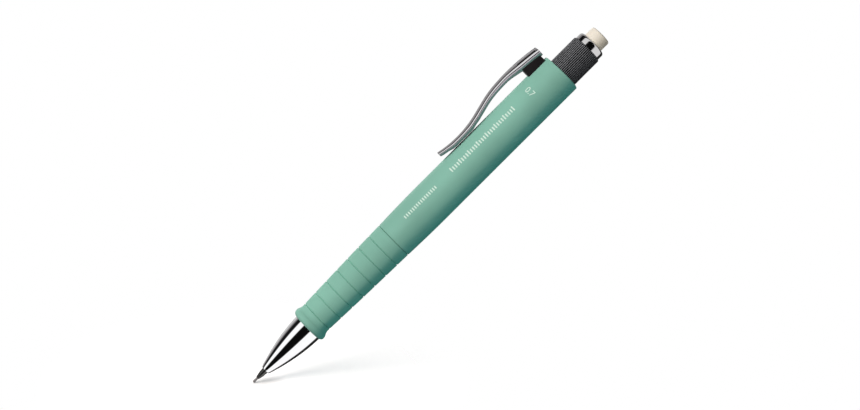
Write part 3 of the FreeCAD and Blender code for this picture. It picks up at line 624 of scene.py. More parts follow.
def cone_outline():
    points = [(CONE_START, CONE_HOLE_RADIUS), (CONE_START, 1.30), (4.815, 1.36), (4.84, 1.40)]
    points += bezier((4.88, 1.436), (14.24, CONE_RADIUS), (23.0, CONE_RADIUS), 56)
    points += [(23.9, CONE_RADIUS), (23.95, 4.515), (23.98, 4.47), (23.98, SPIGOT_RADIUS)]
    points += line((24.4, SPIGOT_RADIUS), (30.1, SPIGOT_RADIUS), 64)
    # round the spigot's end and back through the bore
    return points + [(30.25, 3.2), (30.4, 3.0), (30.4, 2.5), (18.2, 2.5),
                     (18.2, CONE_BORE_RADIUS), (8.6, CONE_BORE_RADIUS), (8.6, CONE_HOLE_RADIUS)]


cone = lathe("cone_shell", cone_outline(), shape=threaded)
finish_piece(cone, "bright_chrome", "nose_cone", "bright_chrome", "nose_cone")

# ---------------------------------------------------------------------
# grip sleeve: flared lip, seven fine grooves, and the joint to the barrel
# ---------------------------------------------------------------------
GRIP_START = 25.5                   # end of the lip
GRIP_END = 57.0
GRIP_START_RADIUS = 5.00
GRIP_BELLY = 0.07                   # added halfway along the grip
GRIP_SLOPE = (JOINT_RADIUS - GRIP_START_RADIUS) / (GRIP_END - GRIP_START)
GRIP_BORE_RADIUS = 4.22
LIP_CREST = (23.2, 5.60)
LIP_WAIST = (24.2, 5.28)

GROOVES = 7
FIRST_GROOVE = 26.2
GROOVE_PITCH = 4.39
GROOVE_HALF_WIDTH = 0.30
# one half of a groove: distance from its middle, depth
GROOVE_HALF = [(0.02, 0.31), (0.06, 0.26), (0.10, 0.14), (0.15, 0.05), (0.21, 0.012),
               (GROOVE_HALF_WIDTH, 0.0)]
GROOVE = [(-offset, depth) for offset, depth in reversed(GROOVE_HALF)] + GROOVE_HALF


def grip_radius(x):
    along = x - GRIP_START
    belly = GRIP_BELLY * math.sin(math.pi * along / (GRIP_END - GRIP_START))
    return GRIP_START_RADIUS + along * GRIP_SLOPE + belly


def lobe_depth(x, r):
    """Depth of the three-sided form: none inside, full on the grip and barrel."""
    if x >= GRIP_END:
        return 0.37 if r > 5.25 else 0.0
    if r < 4.65:
        return 0.0
    return 0.39 * max(0.0, min(1.0, (x - 19.6) / 4.6)) ** 1.3


def grip_land(start, end):
    return [(x, grip_radius(x)) for x in spaced(start, end, 4)]


def grip_outline():
    points = [(21.9, 4.60), (21.9, 4.70)]
    points += arc((21.96, 4.78), LIP_CREST, 1.12, 1, 14)
    points += arc(LIP_CREST, LIP_WAIST, 1.9, 1, 8)[1:]
    points += arc(LIP_WAIST, (GRIP_START, GRIP_START_RADIUS), 3.2, -1, 8)[1:]
    for i in range(GROOVES):
        middle = FIRST_GROOVE + GROOVE_PITCH * i
        # land points keep one groove half width away from the groove's edges
        if i > 0:
            points += grip_land(land_start, middle - GROOVE_HALF_WIDTH - GROOVE_HALF_WIDTH)
        points += [(middle + offset, grip_radius(middle + offset) - depth)
                   for offset, depth in GROOVE]
        land_start = middle + GROOVE_HALF_WIDTH + GROOVE_HALF_WIDTH
    points += grip_land(land_start, 56.3)
    # rounded edge at the joint, then back along the bore
    edge = grip_radius(56.7)
    points += [(56.52, grip_radius(56.52) - 0.012), (56.64, grip_radius(56.64) - 0.05),
               (56.71, edge - 0.12), (56.74, edge - 0.22)]
    return points + [(56.74, GRIP_BORE_RADIUS), (23.99, GRIP_BORE_RADIUS), (23.99, 4.60)]


grip = lathe("grip_shell", grip_outline(), segments=224, lobes=lobe_depth)
finish_piece(grip, "grip_plastic", "barrel", "grip_plastic", "grip_sleeve")

# ---------------------------------------------------------------------
# barrel with its slot
# ---------------------------------------------------------------------
CORE_RADIUS = 4.20                  # part of the barrel inside the grip
CORE_BORE_RADIUS = 3.40
STEP_BORE_RADIUS = 2.45
BARREL_END = 124.3
SLOT_BOTTOM, SLOT_TOP = 3.4, 8.3    # heights of the cutter above the axis
SLOT_BEVEL = 0.12


def barrel_outline():
    points = [(24.0, CORE_BORE_RADIUS), (24.0, 4.05), (24.15, CORE_RADIUS)]
    points += line((26.0, CORE_RADIUS), (55.0, CORE_RADIUS), 4)
    points += [(56.8, CORE_RADIUS), (56.8, 5.66), (56.82, 5.75), (56.87, 5.82), (56.94, 5.862)]
    points += bezier((BARREL_START, JOINT_RADIUS), (65.5, BARREL_RADIUS),
                     (BARREL_FULL, BARREL_RADIUS), 20)
    points += line((75.0, BARREL_RADIUS), (84.0, BARREL_RADIUS), 3)
    points += line((88.0, 6.184), (123.7, 6.219), 12)
    points += arc((123.98, 6.22), (BARREL_END, 5.90), 0.32, 1, 8)
    points += [(BARREL_END, 5.20)]
    points += arc((BARREL_END, 5.14), (124.15, BORE_RADIUS), 0.15, -1, 4)
    points += line((122.0, BORE_RADIUS), (63.0, BORE_RADIUS), 6)
    return points + [(60.0, 3.0), (46.0, 3.0), (46.0, STEP_BORE_RADIUS),
                     (31.5, STEP_BORE_RADIUS), (31.5, CORE_BORE_RADIUS)]


def slot_cutter():
    low = (at_x(SLOT_START), -SLOT_HALF_WIDTH * MM, SLOT_BOTTOM * MM)
    high = (at_x(SLOT_END), SLOT_HALF_WIDTH * MM, SLOT_TOP * MM)
    bm = bmesh.new()
    bmesh.ops.create_cube(bm, size=1.0)
    for vert in bm.verts:
        vert.co = Vector([(low[i] + high[i]) / 2 + vert.co[i] * (high[i] - low[i])
                          for i in range(3)])
    bmesh.ops.bevel(bm, geom=bm.edges[:] + bm.verts[:], offset=SLOT_BEVEL * MM, segments=2,
                    profile=0.5, affect="EDGES")
    return new_object("slot_cutter", bm)


barrel = lathe("barrel_shell", barrel_outline(), segments=256, lobes=lobe_depth)
cut_away(barrel, slot_cutter())
finish_piece(barrel, "barrel_plastic", "barrel", "barrel_plastic", "barrel")
for polygon in barrel.data.polygons:
    polygon.use_smooth = True
barrel.data.set_sharp_from_angle(angle=math.radians(35))

# ---------------------------------------------------------------------
# clip: one pressed strip, a C section swept along an S curve
# ---------------------------------------------------------------------
CLIP_START, CLIP_END = 83.1, 124.1
CLIP_HALF_WIDTH = 2.6
CLIP_CROWN = 0.05                   # rise of the top across its width
CLIP_SHEET = 0.46                   # sheet thickness
CLIP_END_RADIUS = 0.20              # rounding of both ends
CLIP_HOLLOW_START, CLIP_HOLLOW_END = 83.58, 123.64
CLIP_REST_HEIGHT = 6.63             # lower edge where the clip lies along the barrel
CLIP_REST_MIDDLE = 91.4
CLIP_RIB_MIDDLE = 91.6              # rib pressed into the inside, towards the barrel
CLIP_RIB_REACH = 2.2                # half length of the rib
CLIP_RIB_HALF_WIDTH = 1.9

# x, height, radius of the run that starts there: + bulges up, - sags, 0 is straight
CLIP_TOP = [(CLIP_START, 8.89, -32.9), (98.5, 9.15, 0), (102.5, 10.16, 32.3),
            (108.0, 11.08, 62.6), (CLIP_END, 10.33, 0)]
CLIP_LOW = [(CLIP_START, 7.35, -34.7), (98.5, 6.98, 0), (102.5, 8.0, 27.0),
            (107.6, 8.82, 53.8), (116.7, 8.66, 0), (CLIP_END, 8.66, 0)]
# the lower edge runs into this straight line, x and height, over the slot
CLIP_ROOT = [(116.72, 8.06), (CLIP_END, 7.31)]

# share of the side's height from the lip up, degrees it faces up (+) or down (-):
# a tucked lower cheek, a quick turn, a short upright cheek and a wide soft shoulder
CLIP_FACING = [
    (0.00, -56), (0.05, -46), (0.10, -36), (0.36, -33.5), (0.41, -12), (0.47, 13), (0.50, 19),
    (0.62, 31), (0.66, 40), (0.72, 50), (0.76, 58), (0.90, 62), (0.94, 78), (1.0, 80),
]


def run_height(runs, x):
    for (x0, z0, radius), (x1, z1, _) in zip(runs, runs[1:]):
        if x <= x1:
            break
    if radius == 0:
        return z0 + (z1 - z0) * (x - x0) / (x1 - x0)
    side = math.copysign(1, radius)
    centre = arc_centre((x0, z0), (x1, z1), radius, side)
    return centre.y + side * math.sqrt(radius ** 2 - (x - centre.x) ** 2)


def clip_top(x):
    return CLIP_LIFT + run_height(CLIP_TOP, x)


def clip_low(x):
    (x0, z0), (x1, z1) = CLIP_ROOT
    root = z0 + (z1 - z0) * (x - x0) / (x1 - x0)
    share = smoothstep((x - 111.0) / 6.6)
    z = CLIP_LIFT + run_height(CLIP_LOW, x) * (1 - share) + root * share
    # the lip lies along the barrel for a few millimetres
    rest = 1 - smoothstep((abs(x - CLIP_REST_MIDDLE) - 3.0) / 2.6)
    return z - (z - CLIP_REST_HEIGHT) * rest


def side_facing(share):
    for (low, first), (high, last) in zip(CLIP_FACING, CLIP_FACING[1:]):
        if share <= high:
            return first + (last - first) * (share - low) / (high - low)


def side_profile(steps=44):
    """(share of height, inward offset per unit height) along the side."""
    profile = [(0.0, 0.0)]
    for k in range(1, steps + 1):
        # closer spacing near both ends, where the outline turns most
        share = 0.5 - 0.5 * math.cos(math.pi * k / steps)
        before, y = profile[-1]
        y -= math.tan(math.radians(side_facing((share + before) / 2))) * (share - before)
        profile.append((share, y))
    widest = max(y for _, y in profile)
    return [(share, widest - y) for share, y in profile]


CLIP_SIDE = side_profile()


def clip_outline(x, inset=0.0):
    """(y, z) from the lower lip at -Y over the crown to the lip at +Y."""
    top, low = clip_top(x) - inset, clip_low(x) + inset * 0.35
    height = clip_top(x) - clip_low(x) - CLIP_CROWN
    shrink = (CLIP_HALF_WIDTH - inset) / CLIP_HALF_WIDTH
    half = [(max(0.35, CLIP_HALF_WIDTH - offset * height) * shrink,
             low + (top - CLIP_CROWN - low) * share) for share, offset in CLIP_SIDE]
    shoulder_y, shoulder_z = half[-1]
    crown_steps = 6
    for k in range(1, crown_steps + 1):
        y = shoulder_y * (1 - k / crown_steps)
        half.append((y, top - (top - shoulder_z) * (y / shoulder_y) ** 2))
    return [(-y, z) for y, z in half] + half[-2::-1]


def round_clip_end(x, outline):
    """Draws the outline in close to either end of the clip."""
    cut = round_off(min(x - CLIP_START, CLIP_END - x), CLIP_END_RADIUS)
    if cut == 0:
        return outline
    top = max(z for _, z in outline)
    low = min(z for _, z in outline)
    middle, half = (top + low) / 2, (top - low) / 2
    scale_y = (CLIP_HALF_WIDTH - cut) / CLIP_HALF_WIDTH
    scale_z = (half - cut) / half
    return [(y * scale_y, middle + (z - middle) * scale_z) for y, z in outline]


def clip_inside(x):
    """Inner outline of the sheet, with the pressed rib."""
    inner = clip_outline(x, CLIP_SHEET)
    distance = abs(x - CLIP_RIB_MIDDLE)
    if distance >= CLIP_RIB_REACH:
        return inner
    press = 0.5 * (1 + math.cos(math.pi * distance / CLIP_RIB_REACH))
    pressed = []
    for y, z in inner:
        if z > CLIP_REST_HEIGHT:
            across = max(0.0, 1 - (abs(y) / CLIP_RIB_HALF_WIDTH) ** 4)
            z = z + (CLIP_REST_HEIGHT - z) * press * across
        pressed.append((y, z))
    return pressed


def clip_stations():
    stations = [CLIP_START, 83.13, 83.2, 83.32, 83.5, CLIP_HOLLOW_START]
    x = 84.0
    while x < 123.2:
        stations.append(round(x, 3))
        x += 0.35
    return stations + [123.4, CLIP_HOLLOW_END, 123.8, 123.95, 124.04, CLIP_END]


def clip_strip():
    bm = bmesh.new()
    rings = []

    def add_section(x, hollow):
        outer = round_clip_end(x, clip_outline(x))
        # a solid section closes straight across between the lips
        inner = clip_inside(x) if hollow else line(outer[0], outer[-1], len(outer) - 1)
        rings.append([bm.verts.new((at_x(x), y * MM, z * MM)) for y, z in outer + inner[::-1]])

    for x in clip_stations():
        # a solid and a hollow section in one place make the wall at each end of the hollow
        if x == CLIP_HOLLOW_START:
            add_section(x, hollow=False)
        add_section(x, hollow=CLIP_HOLLOW_START <= x <= CLIP_HOLLOW_END)
        if x == CLIP_HOLLOW_END:
            add_section(x, hollow=False)
    skin(bm, rings)
    bmesh.ops.remove_doubles(bm, verts=bm.verts, dist=2e-7)
    bmesh.ops.dissolve_degenerate(bm, dist=2e-7, edges=bm.edges)
    return new_object("clip_strip", bm, sharp=38.0)


clip = clip_strip()
clip.data.materials.append(LOOKS["clip_chrome"])
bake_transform(clip)
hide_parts("clip_root", "clip_arm")

# ---------------------------------------------------------------------
# clip block in the slot and the ring that holds it inside the barrel
# ---------------------------------------------------------------------
BLOCK_END_GAP = 0.06                # to each end of the slot
BLOCK_SIDE_GAP = 0.05
BLOCK_BEVEL = 0.22
RING_START, RING_END = 106.0, 120.0
RING_INNER, RING_OUTER = 4.45, 4.97
RING_FILLET = 0.08


def clip_block():
    start, end = SLOT_START + BLOCK_END_GAP, SLOT_END - BLOCK_END_GAP
    half_width = SLOT_HALF_WIDTH - BLOCK_SIDE_GAP
    profile = [(start, BORE_RADIUS), (end, BORE_RADIUS),
               (end, 9.90 + CLIP_LIFT), (start, 10.58 + CLIP_LIFT)]
    bm = bmesh.new()
    skin(bm, [[bm.verts.new((at_x(x), y * MM, z * MM)) for x, z in profile]
              for y in (-half_width, half_width)])
    bmesh.ops.recalc_face_normals(bm, faces=bm.faces)
    bmesh.ops.bevel(bm, geom=bm.edges[:], offset=BLOCK_BEVEL * MM, segments=4, profile=0.5,
                    affect="EDGES")
    return new_object("clip_block", bm)


ring = lathe("clip_ring", rounded([
    (RING_START, RING_INNER, RING_FILLET), (RING_START, RING_OUTER, RING_FILLET),
    (RING_END, RING_OUTER, RING_FILLET), (RING_END, RING_INNER, RING_FILLET)], steps=3),
    segments=128)
finish_piece(ring, "black_plastic", "barrel", "black_plastic")
block = clip_block()
finish_piece(block, "black_plastic", "barrel", "black_plastic")
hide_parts("clip_carrier")
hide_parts("clip_carrier")

# ---------------------------------------------------------------------
# knob: fluted cap with a smooth inner sleeve, and the bright collar at its end
# ---------------------------------------------------------------------
KNOB_START = 109.2
KNOB_SLEEVE_RADIUS = 4.32
KNOB_CAP_START = 123.6
KNOB_CAP_RADIUS = 4.77
KNOB_END = 134.18
FLUTE_DEPTH = 0.21
FLUTE_SHARE = 0.55                  # part of the pitch that is cut away
COLLAR_RADIUS = 4.40


def fluted(x, angle, r):
    """Cuts the flutes into the outside of the cap."""
    if r < 4.4 or x < KNOB_CAP_START:
        return r
    phase = (angle / (2 * math.pi) * FLUTES) % 1.0
    from_middle = abs(phase - 0.5) * 2.0
    return r - FLUTE_DEPTH * smoothstep(max(0.0, 1.0 - from_middle / FLUTE_SHARE))


def knob_outline():
    points = [(KNOB_START, 2.20), (KNOB_START, 4.14), (109.26, 4.26), (109.4, KNOB_SLEEVE_RADIUS)]
    points += line((111.0, KNOB_SLEEVE_RADIUS), (KNOB_CAP_START, KNOB_SLEEVE_RADIUS), 4)
    points += [(KNOB_CAP_START, 4.57), (123.66, 4.70), (123.8, KNOB_CAP_RADIUS)]
    points += line((124.6, KNOB_CAP_RADIUS), (133.5, KNOB_CAP_RADIUS), 10)
    points += [(133.72, 4.765), (133.86, 4.74), (134.0, 4.68), (134.1, 4.58), (134.16, 4.47),
               (KNOB_END, 4.39)]
    return points + [(KNOB_END, 4.0), (109.85, 4.0), (109.85, 2.20)]


def collar_outline():
    points = [(133.0, 3.55), (133.0, 3.93), (133.05, 3.98), (134.2, 3.98), (134.2, 4.33),
              (134.22, 4.37), (134.27, COLLAR_RADIUS)]
    points += line((134.6, COLLAR_RADIUS), (135.6, COLLAR_RADIUS), 3)
    points += arc((135.7, COLLAR_RADIUS), (136.5, 3.62), 0.86, 1, 14)
    points += [(136.56, 3.50), (136.6, 3.38)]
    points += arc((136.6, 3.36), (136.5, 3.27), 0.1, -1, 3)
    return points + [(134.2, 3.27), (134.2, 3.55)]


knob = lathe("knob_grip", knob_outline(), segments=FLUTES * 12, shape=fluted, sharp=34.0)
finish_piece(knob, "knob_plastic", "knob", "knob_plastic", "knob")
collar = lathe("collar_ring", collar_outline())
finish_piece(collar, "collar_chrome", "knob", "bright_chrome", "knob_collar")

# ---------------------------------------------------------------------
# eraser
# ---------------------------------------------------------------------
ERASER_RADIUS = 3.20
ERASER_STEM_RADIUS = 2.55


def eraser_outline():
    points = [(115.0, 0.0), (115.0, 2.45), (115.1, ERASER_STEM_RADIUS),
              (119.02, ERASER_STEM_RADIUS), (119.02, 3.14), (119.08, ERASER_RADIUS)]
    points += line((121.0, ERASER_RADIUS), (138.8, ERASER_RADIUS), 8)
    points += arc((139.35, 3.19), (139.9, 2.66), 0.56, 1, 10)
    return points + [(139.96, 2.2), (139.99, 1.5), (140.0, 0.8), (140.0, 0.0)]


eraser = lathe("eraser_tip", eraser_outline(), segments=128)
finish_piece(eraser, "eraser_vinyl", "eraser", "eraser_vinyl", "eraser")

# ---------------------------------------------------------------------
# the two coil springs
# ---------------------------------------------------------------------
END_TURNS = 0.75                    # closely wound turns at each end
TIP_TURNS = 0.22                    # the wire thins out over these
WIRE_SEGMENTS = 14
STEPS_PER_TURN = 44


def coil_mesh(name, start, length, radius, wire, pitch):
    """Round wire coil, closely wound at both ends; wire is the wire's radius."""
    end_pitch = wire * 2.08
    live = (length - 2 * END_TURNS * end_pitch) / pitch
    turns = live + 2 * END_TURNS
    steps = int(turns * STEPS_PER_TURN)
    bm = bmesh.new()
    rings = []
    for i in range(steps + 1):
        turn = turns * i / steps
        if turn < END_TURNS:
            along = end_pitch * turn
        elif turn < END_TURNS + live:
            along = end_pitch * END_TURNS + pitch * (turn - END_TURNS)
        else:
            along = (end_pitch * END_TURNS + pitch * live
                     + end_pitch * (turn - END_TURNS - live))
        angle = 2 * math.pi * turn
        tip = min(1.0, min(turn, turns - turn) / TIP_TURNS)
        thickness = wire * (0.45 + 0.55 * smoothstep(tip))
        ring = []
        for k in range(WIRE_SEGMENTS):
            around = 2 * math.pi * k / WIRE_SEGMENTS
            r = radius + thickness * math.cos(around)
            ring.append(bm.verts.new((at_x(start + along + thickness * math.sin(around)),
                                      r * math.cos(angle) * MM, r * math.sin(angle) * MM)))
        rings.append(ring)
    skin(bm, rings)
    return new_object(name, bm, sharp=40.0)


def spring_piece(name, node, body, radius, wire, pitch):
    """Spring that fills its CAD node's length."""
    low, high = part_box(node)
    start, end = (float(low[0]) - START_X) / MM, (float(high[0]) - START_X) / MM
    ob = coil_mesh(name, start + wire, (end - start) - 2 * wire, radius, wire, pitch)
    finish_piece(ob, "spring_steel", body, "spring_steel", node)
    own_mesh(ob)


spring_piece("return_coil", "return_spring", "barrel",
             radius=1.62, wire=0.20, pitch=1.28)
spring_piece("slider_coil", "slider_spring", "nose_core",
             radius=1.70, wire=0.13, pitch=0.76)

# ---------------------------------------------------------------------
# printed marks: plain dashes and the lead size, a thin film on the barrel
# ---------------------------------------------------------------------
MARKS_MIDDLE = 4.25                 # mm around the barrel from the camera side
INK_HEIGHT = 0.012                  # top of the film above the barrel
INK_THICKNESS = 0.03
SIZE_TEXT = "0.7"
SIZE_TEXT_HEIGHT = 2.65
SIZE_TEXT_PLACE = (113.7, 4.15)     # along, around
LONGEST_TEXT_EDGE = 0.22


def barrel_radius(x):
    if x < BARREL_FULL:
        share = (x - BARREL_START) / (BARREL_FULL - BARREL_START)
        return BARREL_RADIUS - (BARREL_RADIUS - JOINT_RADIUS) * (1 - share) ** 2
    if x < 84.0:
        return BARREL_RADIUS
    return BARREL_RADIUS + 0.04 * (x - 84.0) / (124.02 - 84.0)


def facing_angle(walked, r, depth):
    """Facing angle (0 = camera side) reached after walking over the surface."""
    angle = walked / r
    for _ in range(12):
        miss = r * angle + (8 * depth / 3) * (1 - math.cos(3 * angle)) - walked
        angle -= miss / (r + 8 * depth * math.sin(3 * angle))
    return angle


def wrap(bm):
    """Flat pattern (x = mm along, y = mm around from the camera side) onto the barrel."""
    for vert in bm.verts:
        x, walked = vert.co.x, vert.co.y
        r, depth = barrel_radius(x), lobe_depth(x, 6.0)
        angle = facing_angle(walked, r, depth)
        y, z = three_sided(r + INK_HEIGHT, depth, math.pi - angle)
        vert.co = Vector((at_x(x), y * MM, z * MM))


def dash(bm, start, width, middle, height):
    """Upright bar with rounded corners."""
    columns, rows = 6, 6
    end = start + width
    radius = min(0.18, width * 0.45)
    grid = []
    for x in spaced(start, end, columns):
        half = height / 2 - round_off(min(x - start, end - x), radius)
        grid.append([bm.verts.new((x, middle + half * (2 * j / rows - 1), 0))
                     for j in range(rows + 1)])
    for column, following in zip(grid, grid[1:]):
        for j in range(rows):
            bm.faces.new((column[j], following[j], following[j + 1], column[j + 1]))


def size_mark():
    """Flat, finely divided mesh of the lead size; it reads around the barrel."""
    curve = bpy.data.curves.new("size_mark", "FONT")
    curve.body = SIZE_TEXT
    curve.size = SIZE_TEXT_HEIGHT
    curve.align_x = "CENTER"
    curve.align_y = "CENTER"
    curve.resolution_u = 6
    text = bpy.data.objects.new("size_mark_tmp", curve)
    scene.collection.objects.link(text)
    bpy.context.view_layer.update()
    evaluated = text.evaluated_get(bpy.context.evaluated_depsgraph_get())
    mesh = bpy.data.meshes.new_from_object(evaluated)
    bpy.data.objects.remove(text)
    bm = bmesh.new()
    bm.from_mesh(mesh)
    bmesh.ops.remove_doubles(bm, verts=bm.verts, dist=1e-5)
    bmesh.ops.triangulate(bm, faces=bm.faces)
    for _ in range(3):
        long_edges = [e for e in bm.edges if e.calc_length() > LONGEST_TEXT_EDGE]
        if not long_edges:
            break
        bmesh.ops.subdivide_edges(bm, edges=long_edges, cuts=1)
        bmesh.ops.triangulate(bm, faces=bm.faces)
    along, around = SIZE_TEXT_PLACE
    for vert in bm.verts:
        vert.co = Vector((along + vert.co.y, around - vert.co.x, 0))
    bm.to_mesh(mesh)
    bm.free()
    return mesh


def print_marks():
    bm = bmesh.new()
    # long row: every fourth dash is taller
    for i in range(29):
        offset, height = (0.0, 1.75) if i % 4 == 0 else (0.16, 1.35)
        dash(bm, 82.2 + 0.88 * i, width=0.42, middle=MARKS_MIDDLE - offset, height=height)
    # short row near the grip
    for i in range(16):
        dash(bm, 63.6 + 0.80 * i, width=0.38, middle=MARKS_MIDDLE - 0.3, height=1.15)
    mesh = size_mark()
    bm.from_mesh(mesh)
    bpy.data.meshes.remove(mesh)
    wrap(bm)
    # a real thickness makes the film a closed skin of ink
    extruded = bmesh.ops.extrude_face_region(bm, geom=bm.faces[:])
    for item in extruded["geom"]:
        if isinstance(item, bmesh.types.BMVert):
            outward = Vector((0, item.co.y, item.co.z)).normalized()
            item.co -= outward * (INK_THICKNESS * MM)
    return new_object("print_marks", bm, sharp=60.0)


marks = print_marks()
finish_piece(marks, "print_ink", "barrel", "barrel_plastic")

# ---------------------------------------------------------------------
# camera: square to the axis, the pencil runs up to the right at 45 degrees
# ---------------------------------------------------------------------
CAMERA_TURN = math.radians(44.96)
CAMERA_RIGHT = Vector((math.cos(CAMERA_TURN), 0, -math.sin(CAMERA_TURN)))
CAMERA_UP = Vector((math.sin(CAMERA_TURN), 0, math.cos(CAMERA_TURN)))
TO_CAMERA = Vector((0, -1, 0))
CAMERA_AIM = Vector((at_x(71.17), 0, 0.00014))
CAMERA_DISTANCE = 0.712


def add_camera():
    data = bpy.data.cameras.new("camera")
    data.sensor_width = 36.0
    data.lens = 104.7
    data.clip_start = 0.01
    data.clip_end = 20.0
    camera = bpy.data.objects.new("camera", data)
    turn = Matrix((CAMERA_RIGHT, CAMERA_UP, TO_CAMERA)).transposed()
    place = CAMERA_AIM + TO_CAMERA * CAMERA_DISTANCE
    camera.matrix_world = Matrix.Translation(place) @ turn.to_4x4()
    scene.collection.objects.link(camera)
    scene.camera = camera


add_camera()

# ---------------------------------------------------------------------
# floor: plain pale sheet under the tip, seen about twenty degrees from above
# ---------------------------------------------------------------------
FLOOR_TILT = math.radians(20.0)
FLOOR_RADIUS = 0.5
FLOOR_NORMAL = (CAMERA_UP * math.cos(FLOOR_TILT) + TO_CAMERA * math.sin(FLOOR_TILT)).normalized()
# just under the lead, a part of its radius below the axis
FLOOR_PLACE = Vector((at_x(0.0), 0, 0)) - FLOOR_NORMAL * (LEAD_RADIUS * MM * 0.75)


def paper_material():
    """Paper that only the camera sees, from its upper side, fading out around the tip."""
    material = bpy.data.materials.new("floor_paper")
    shader = Shader(material, empty=True)
    position = shader.coord.outputs["Object"]
    distance = shader.node("ShaderNodeVectorMath", {0: position}, operation="LENGTH")
    fade = shader.remap(distance.outputs["Value"], over=(0.012, 0.062), to=(1.0, 0.0))
    geometry = shader.node("ShaderNodeNewGeometry")
    upper_side = shader.math("SUBTRACT", 1.0, geometry.outputs["Backfacing"])
    camera_ray = shader.node("ShaderNodeLightPath").outputs["Is Camera Ray"]
    visible = shader.math("MULTIPLY", shader.math("MULTIPLY", upper_side, fade), camera_ray)
    grain = shader.remap(shader.noise(scale=900.0, detail=2.0, vector=position),
                         over=(0.0, 1.0), to=(0.88, 0.92))
    # contact shade: what stands close above the paper darkens it
    occlusion = shader.node("ShaderNodeAmbientOcclusion", {"Distance": 0.0042}, samples=16)
    contact = shader.remap(occlusion.outputs["AO"], over=(0.45, 1.0), to=(0.40, 1.0))
    shade = shader.math("MULTIPLY", grain, contact)
    diffuse = shader.node("ShaderNodeBsdfDiffuse", {"Color": shade})
    glow = shader.node("ShaderNodeEmission", {
        "Color": (0.50, 0.52, 0.53, 1), "Strength": contact})
    paper = shader.node("ShaderNodeAddShader", {0: diffuse.outputs[0], 1: glow.outputs[0]})
    clear = shader.node("ShaderNodeBsdfTransparent")
    mixed = shader.node("ShaderNodeMixShader", {
        0: visible, 1: clear.outputs[0], 2: paper.outputs[0]})
    shader.node("ShaderNodeOutputMaterial", {"Surface": mixed.outputs[0]})
    return material


def add_floor():
    bm = bmesh.new()
    bmesh.ops.create_circle(bm, cap_ends=True, segments=96, radius=FLOOR_RADIUS)
    floor = new_object("floor", bm)
    turn = FLOOR_NORMAL.to_track_quat("Z", "Y").to_matrix()
    floor.matrix_world = Matrix.Translation(FLOOR_PLACE) @ turn.to_4x4()
    floor.data.materials.append(paper_material())
    floor.visible_shadow = False


add_floor()

# ---------------------------------------------------------------------
# light: one soft key high on the clip side, a weak neutral surround, and
# long studio strips that only reflections see
# ---------------------------------------------------------------------
PENCIL_MIDDLE = Vector((at_x(70.0), 0, 0))


def around_axis(degrees, along=0.0):
    """Direction at an angle about the axis, 0 = to the camera, + = to the clip."""
    angle = math.radians(degrees)
    return (along, -math.cos(angle), math.sin(angle))


def soft_light(name, direction, energy, color, size, height=None, distance=1.0,
               target=PENCIL_MIDDLE, only=()):
    """A disk, or a rectangle if it has a height; with pieces named, it lights only those."""
    data = bpy.data.lights.new(name, "AREA")
    data.shape = "RECTANGLE" if height else "DISK"
    data.size = size
    if height:
        data.size_y = height
    data.energy = energy
    data.color = color
    light = bpy.data.objects.new(name, data)
    direction = Vector(direction).normalized()
    light.location = target + direction * distance
    light.rotation_mode = "QUATERNION"
    light.rotation_quaternion = direction.to_track_quat("Z", "X")
    light.visible_glossy = False
    scene.collection.objects.link(light)
    if only:
        group = bpy.data.collections.new(name + "_pieces")
        for piece in only:
            group.objects.link(piece)
        light.light_linking.receiver_collection = group


soft_light("key", around_axis(52.0, along=-0.10), energy=10.4, color=(1.0, 0.914, 0.855),
           size=0.75, height=0.55)
soft_light("green_bounce", around_axis(-80.0), energy=1.9, color=(0.06, 1.0, 1.0), size=0.5,
           only=(barrel, grip))
soft_light("eraser_bounce", (0.15, -1.0, -0.45), energy=0.62, color=(1.0, 0.90, 0.74), size=0.30,
           distance=0.5, target=Vector((at_x(138.0), 0, 0)), only=(eraser,))
soft_light("back_fill", (0.35, 1.0, 0.55), energy=5.0, color=(1.0, 0.97, 0.95), size=0.7)

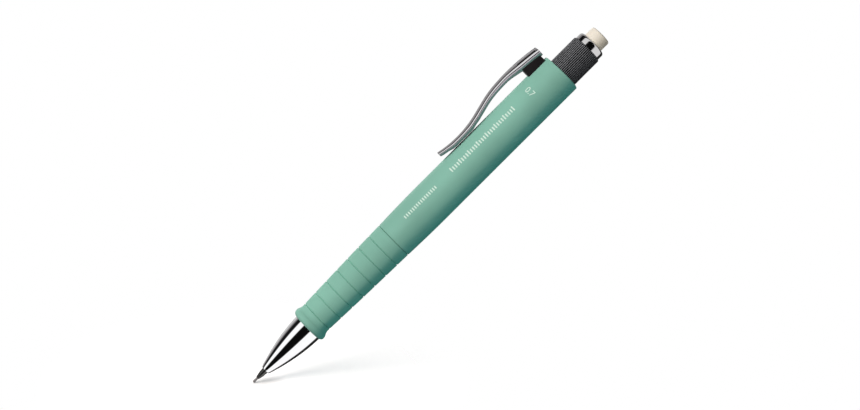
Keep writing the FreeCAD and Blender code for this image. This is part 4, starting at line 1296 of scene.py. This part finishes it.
# angle about the axis as in around_axis, then the reflected colour
STUDIO_STRIPS = [
    (-180, 0.50, 0.50, 0.50), (-166, 0.42, 0.42, 0.42), (-160, 0.02, 0.02, 0.02),
    (-115, 0.02, 0.02, 0.02), (-109, 1.15, 1.15, 1.15), (-34, 1.15, 1.15, 1.15),
    (-29, 0.004, 0.004, 0.004), (29, 0.004, 0.004, 0.004), (34, 1.15, 1.15, 1.15),
    (68, 1.15, 1.15, 1.15), (74, 0.008, 0.008, 0.009), (105, 0.008, 0.008, 0.009),
    (112, 0.34, 0.325, 0.33), (128, 0.36, 0.345, 0.35), (136, 0.80, 0.80, 0.80),
    (148, 0.80, 0.80, 0.80), (158, 0.16, 0.16, 0.16), (180, 0.50, 0.50, 0.50),
]
SURROUND = (0.090, 0.090, 0.092, 1)
BACKDROP = (1.0, 1.0, 1.0, 1.0)     # seen by the camera only


def studio_world():
    world = bpy.data.worlds.new("studio")
    scene.world = world
    shader = Shader(world, empty=True)
    direction = shader.split(shader.coord.outputs["Generated"])
    to_camera = shader.math("MULTIPLY", direction["Y"], -1.0)
    angle = shader.math("ARCTAN2", direction["Z"], to_camera)
    ramp = shader.node("ShaderNodeValToRGB", {
        "Fac": shader.remap(angle, over=(-math.pi, math.pi))})
    ramp.color_ramp.interpolation = "LINEAR"
    # the ramp's own first element, at 0, takes the first strip
    elements = ramp.color_ramp.elements
    elements.remove(elements[-1])
    for i, (degrees, *color) in enumerate(STUDIO_STRIPS):
        element = elements[0] if i == 0 else elements.new((degrees + 180.0) / 360.0)
        element.color = (*color, 1)
    rays = shader.node("ShaderNodeLightPath").outputs
    surround = shader.node("ShaderNodeRGB").outputs[0]
    surround.default_value = SURROUND
    lit = shader.mix(rays["Is Glossy Ray"], surround, ramp.outputs["Color"])
    color = shader.mix(rays["Is Camera Ray"], lit, BACKDROP)
    background = shader.node("ShaderNodeBackground", {"Color": color, "Strength": 1.0})
    shader.node("ShaderNodeOutputWorld", {"Surface": background.outputs[0]})


studio_world()

scene.view_settings.view_transform = "Standard"
scene.view_settings.look = "None"
scene.view_settings.exposure = 0.0
scene.view_settings.gamma = 1.0
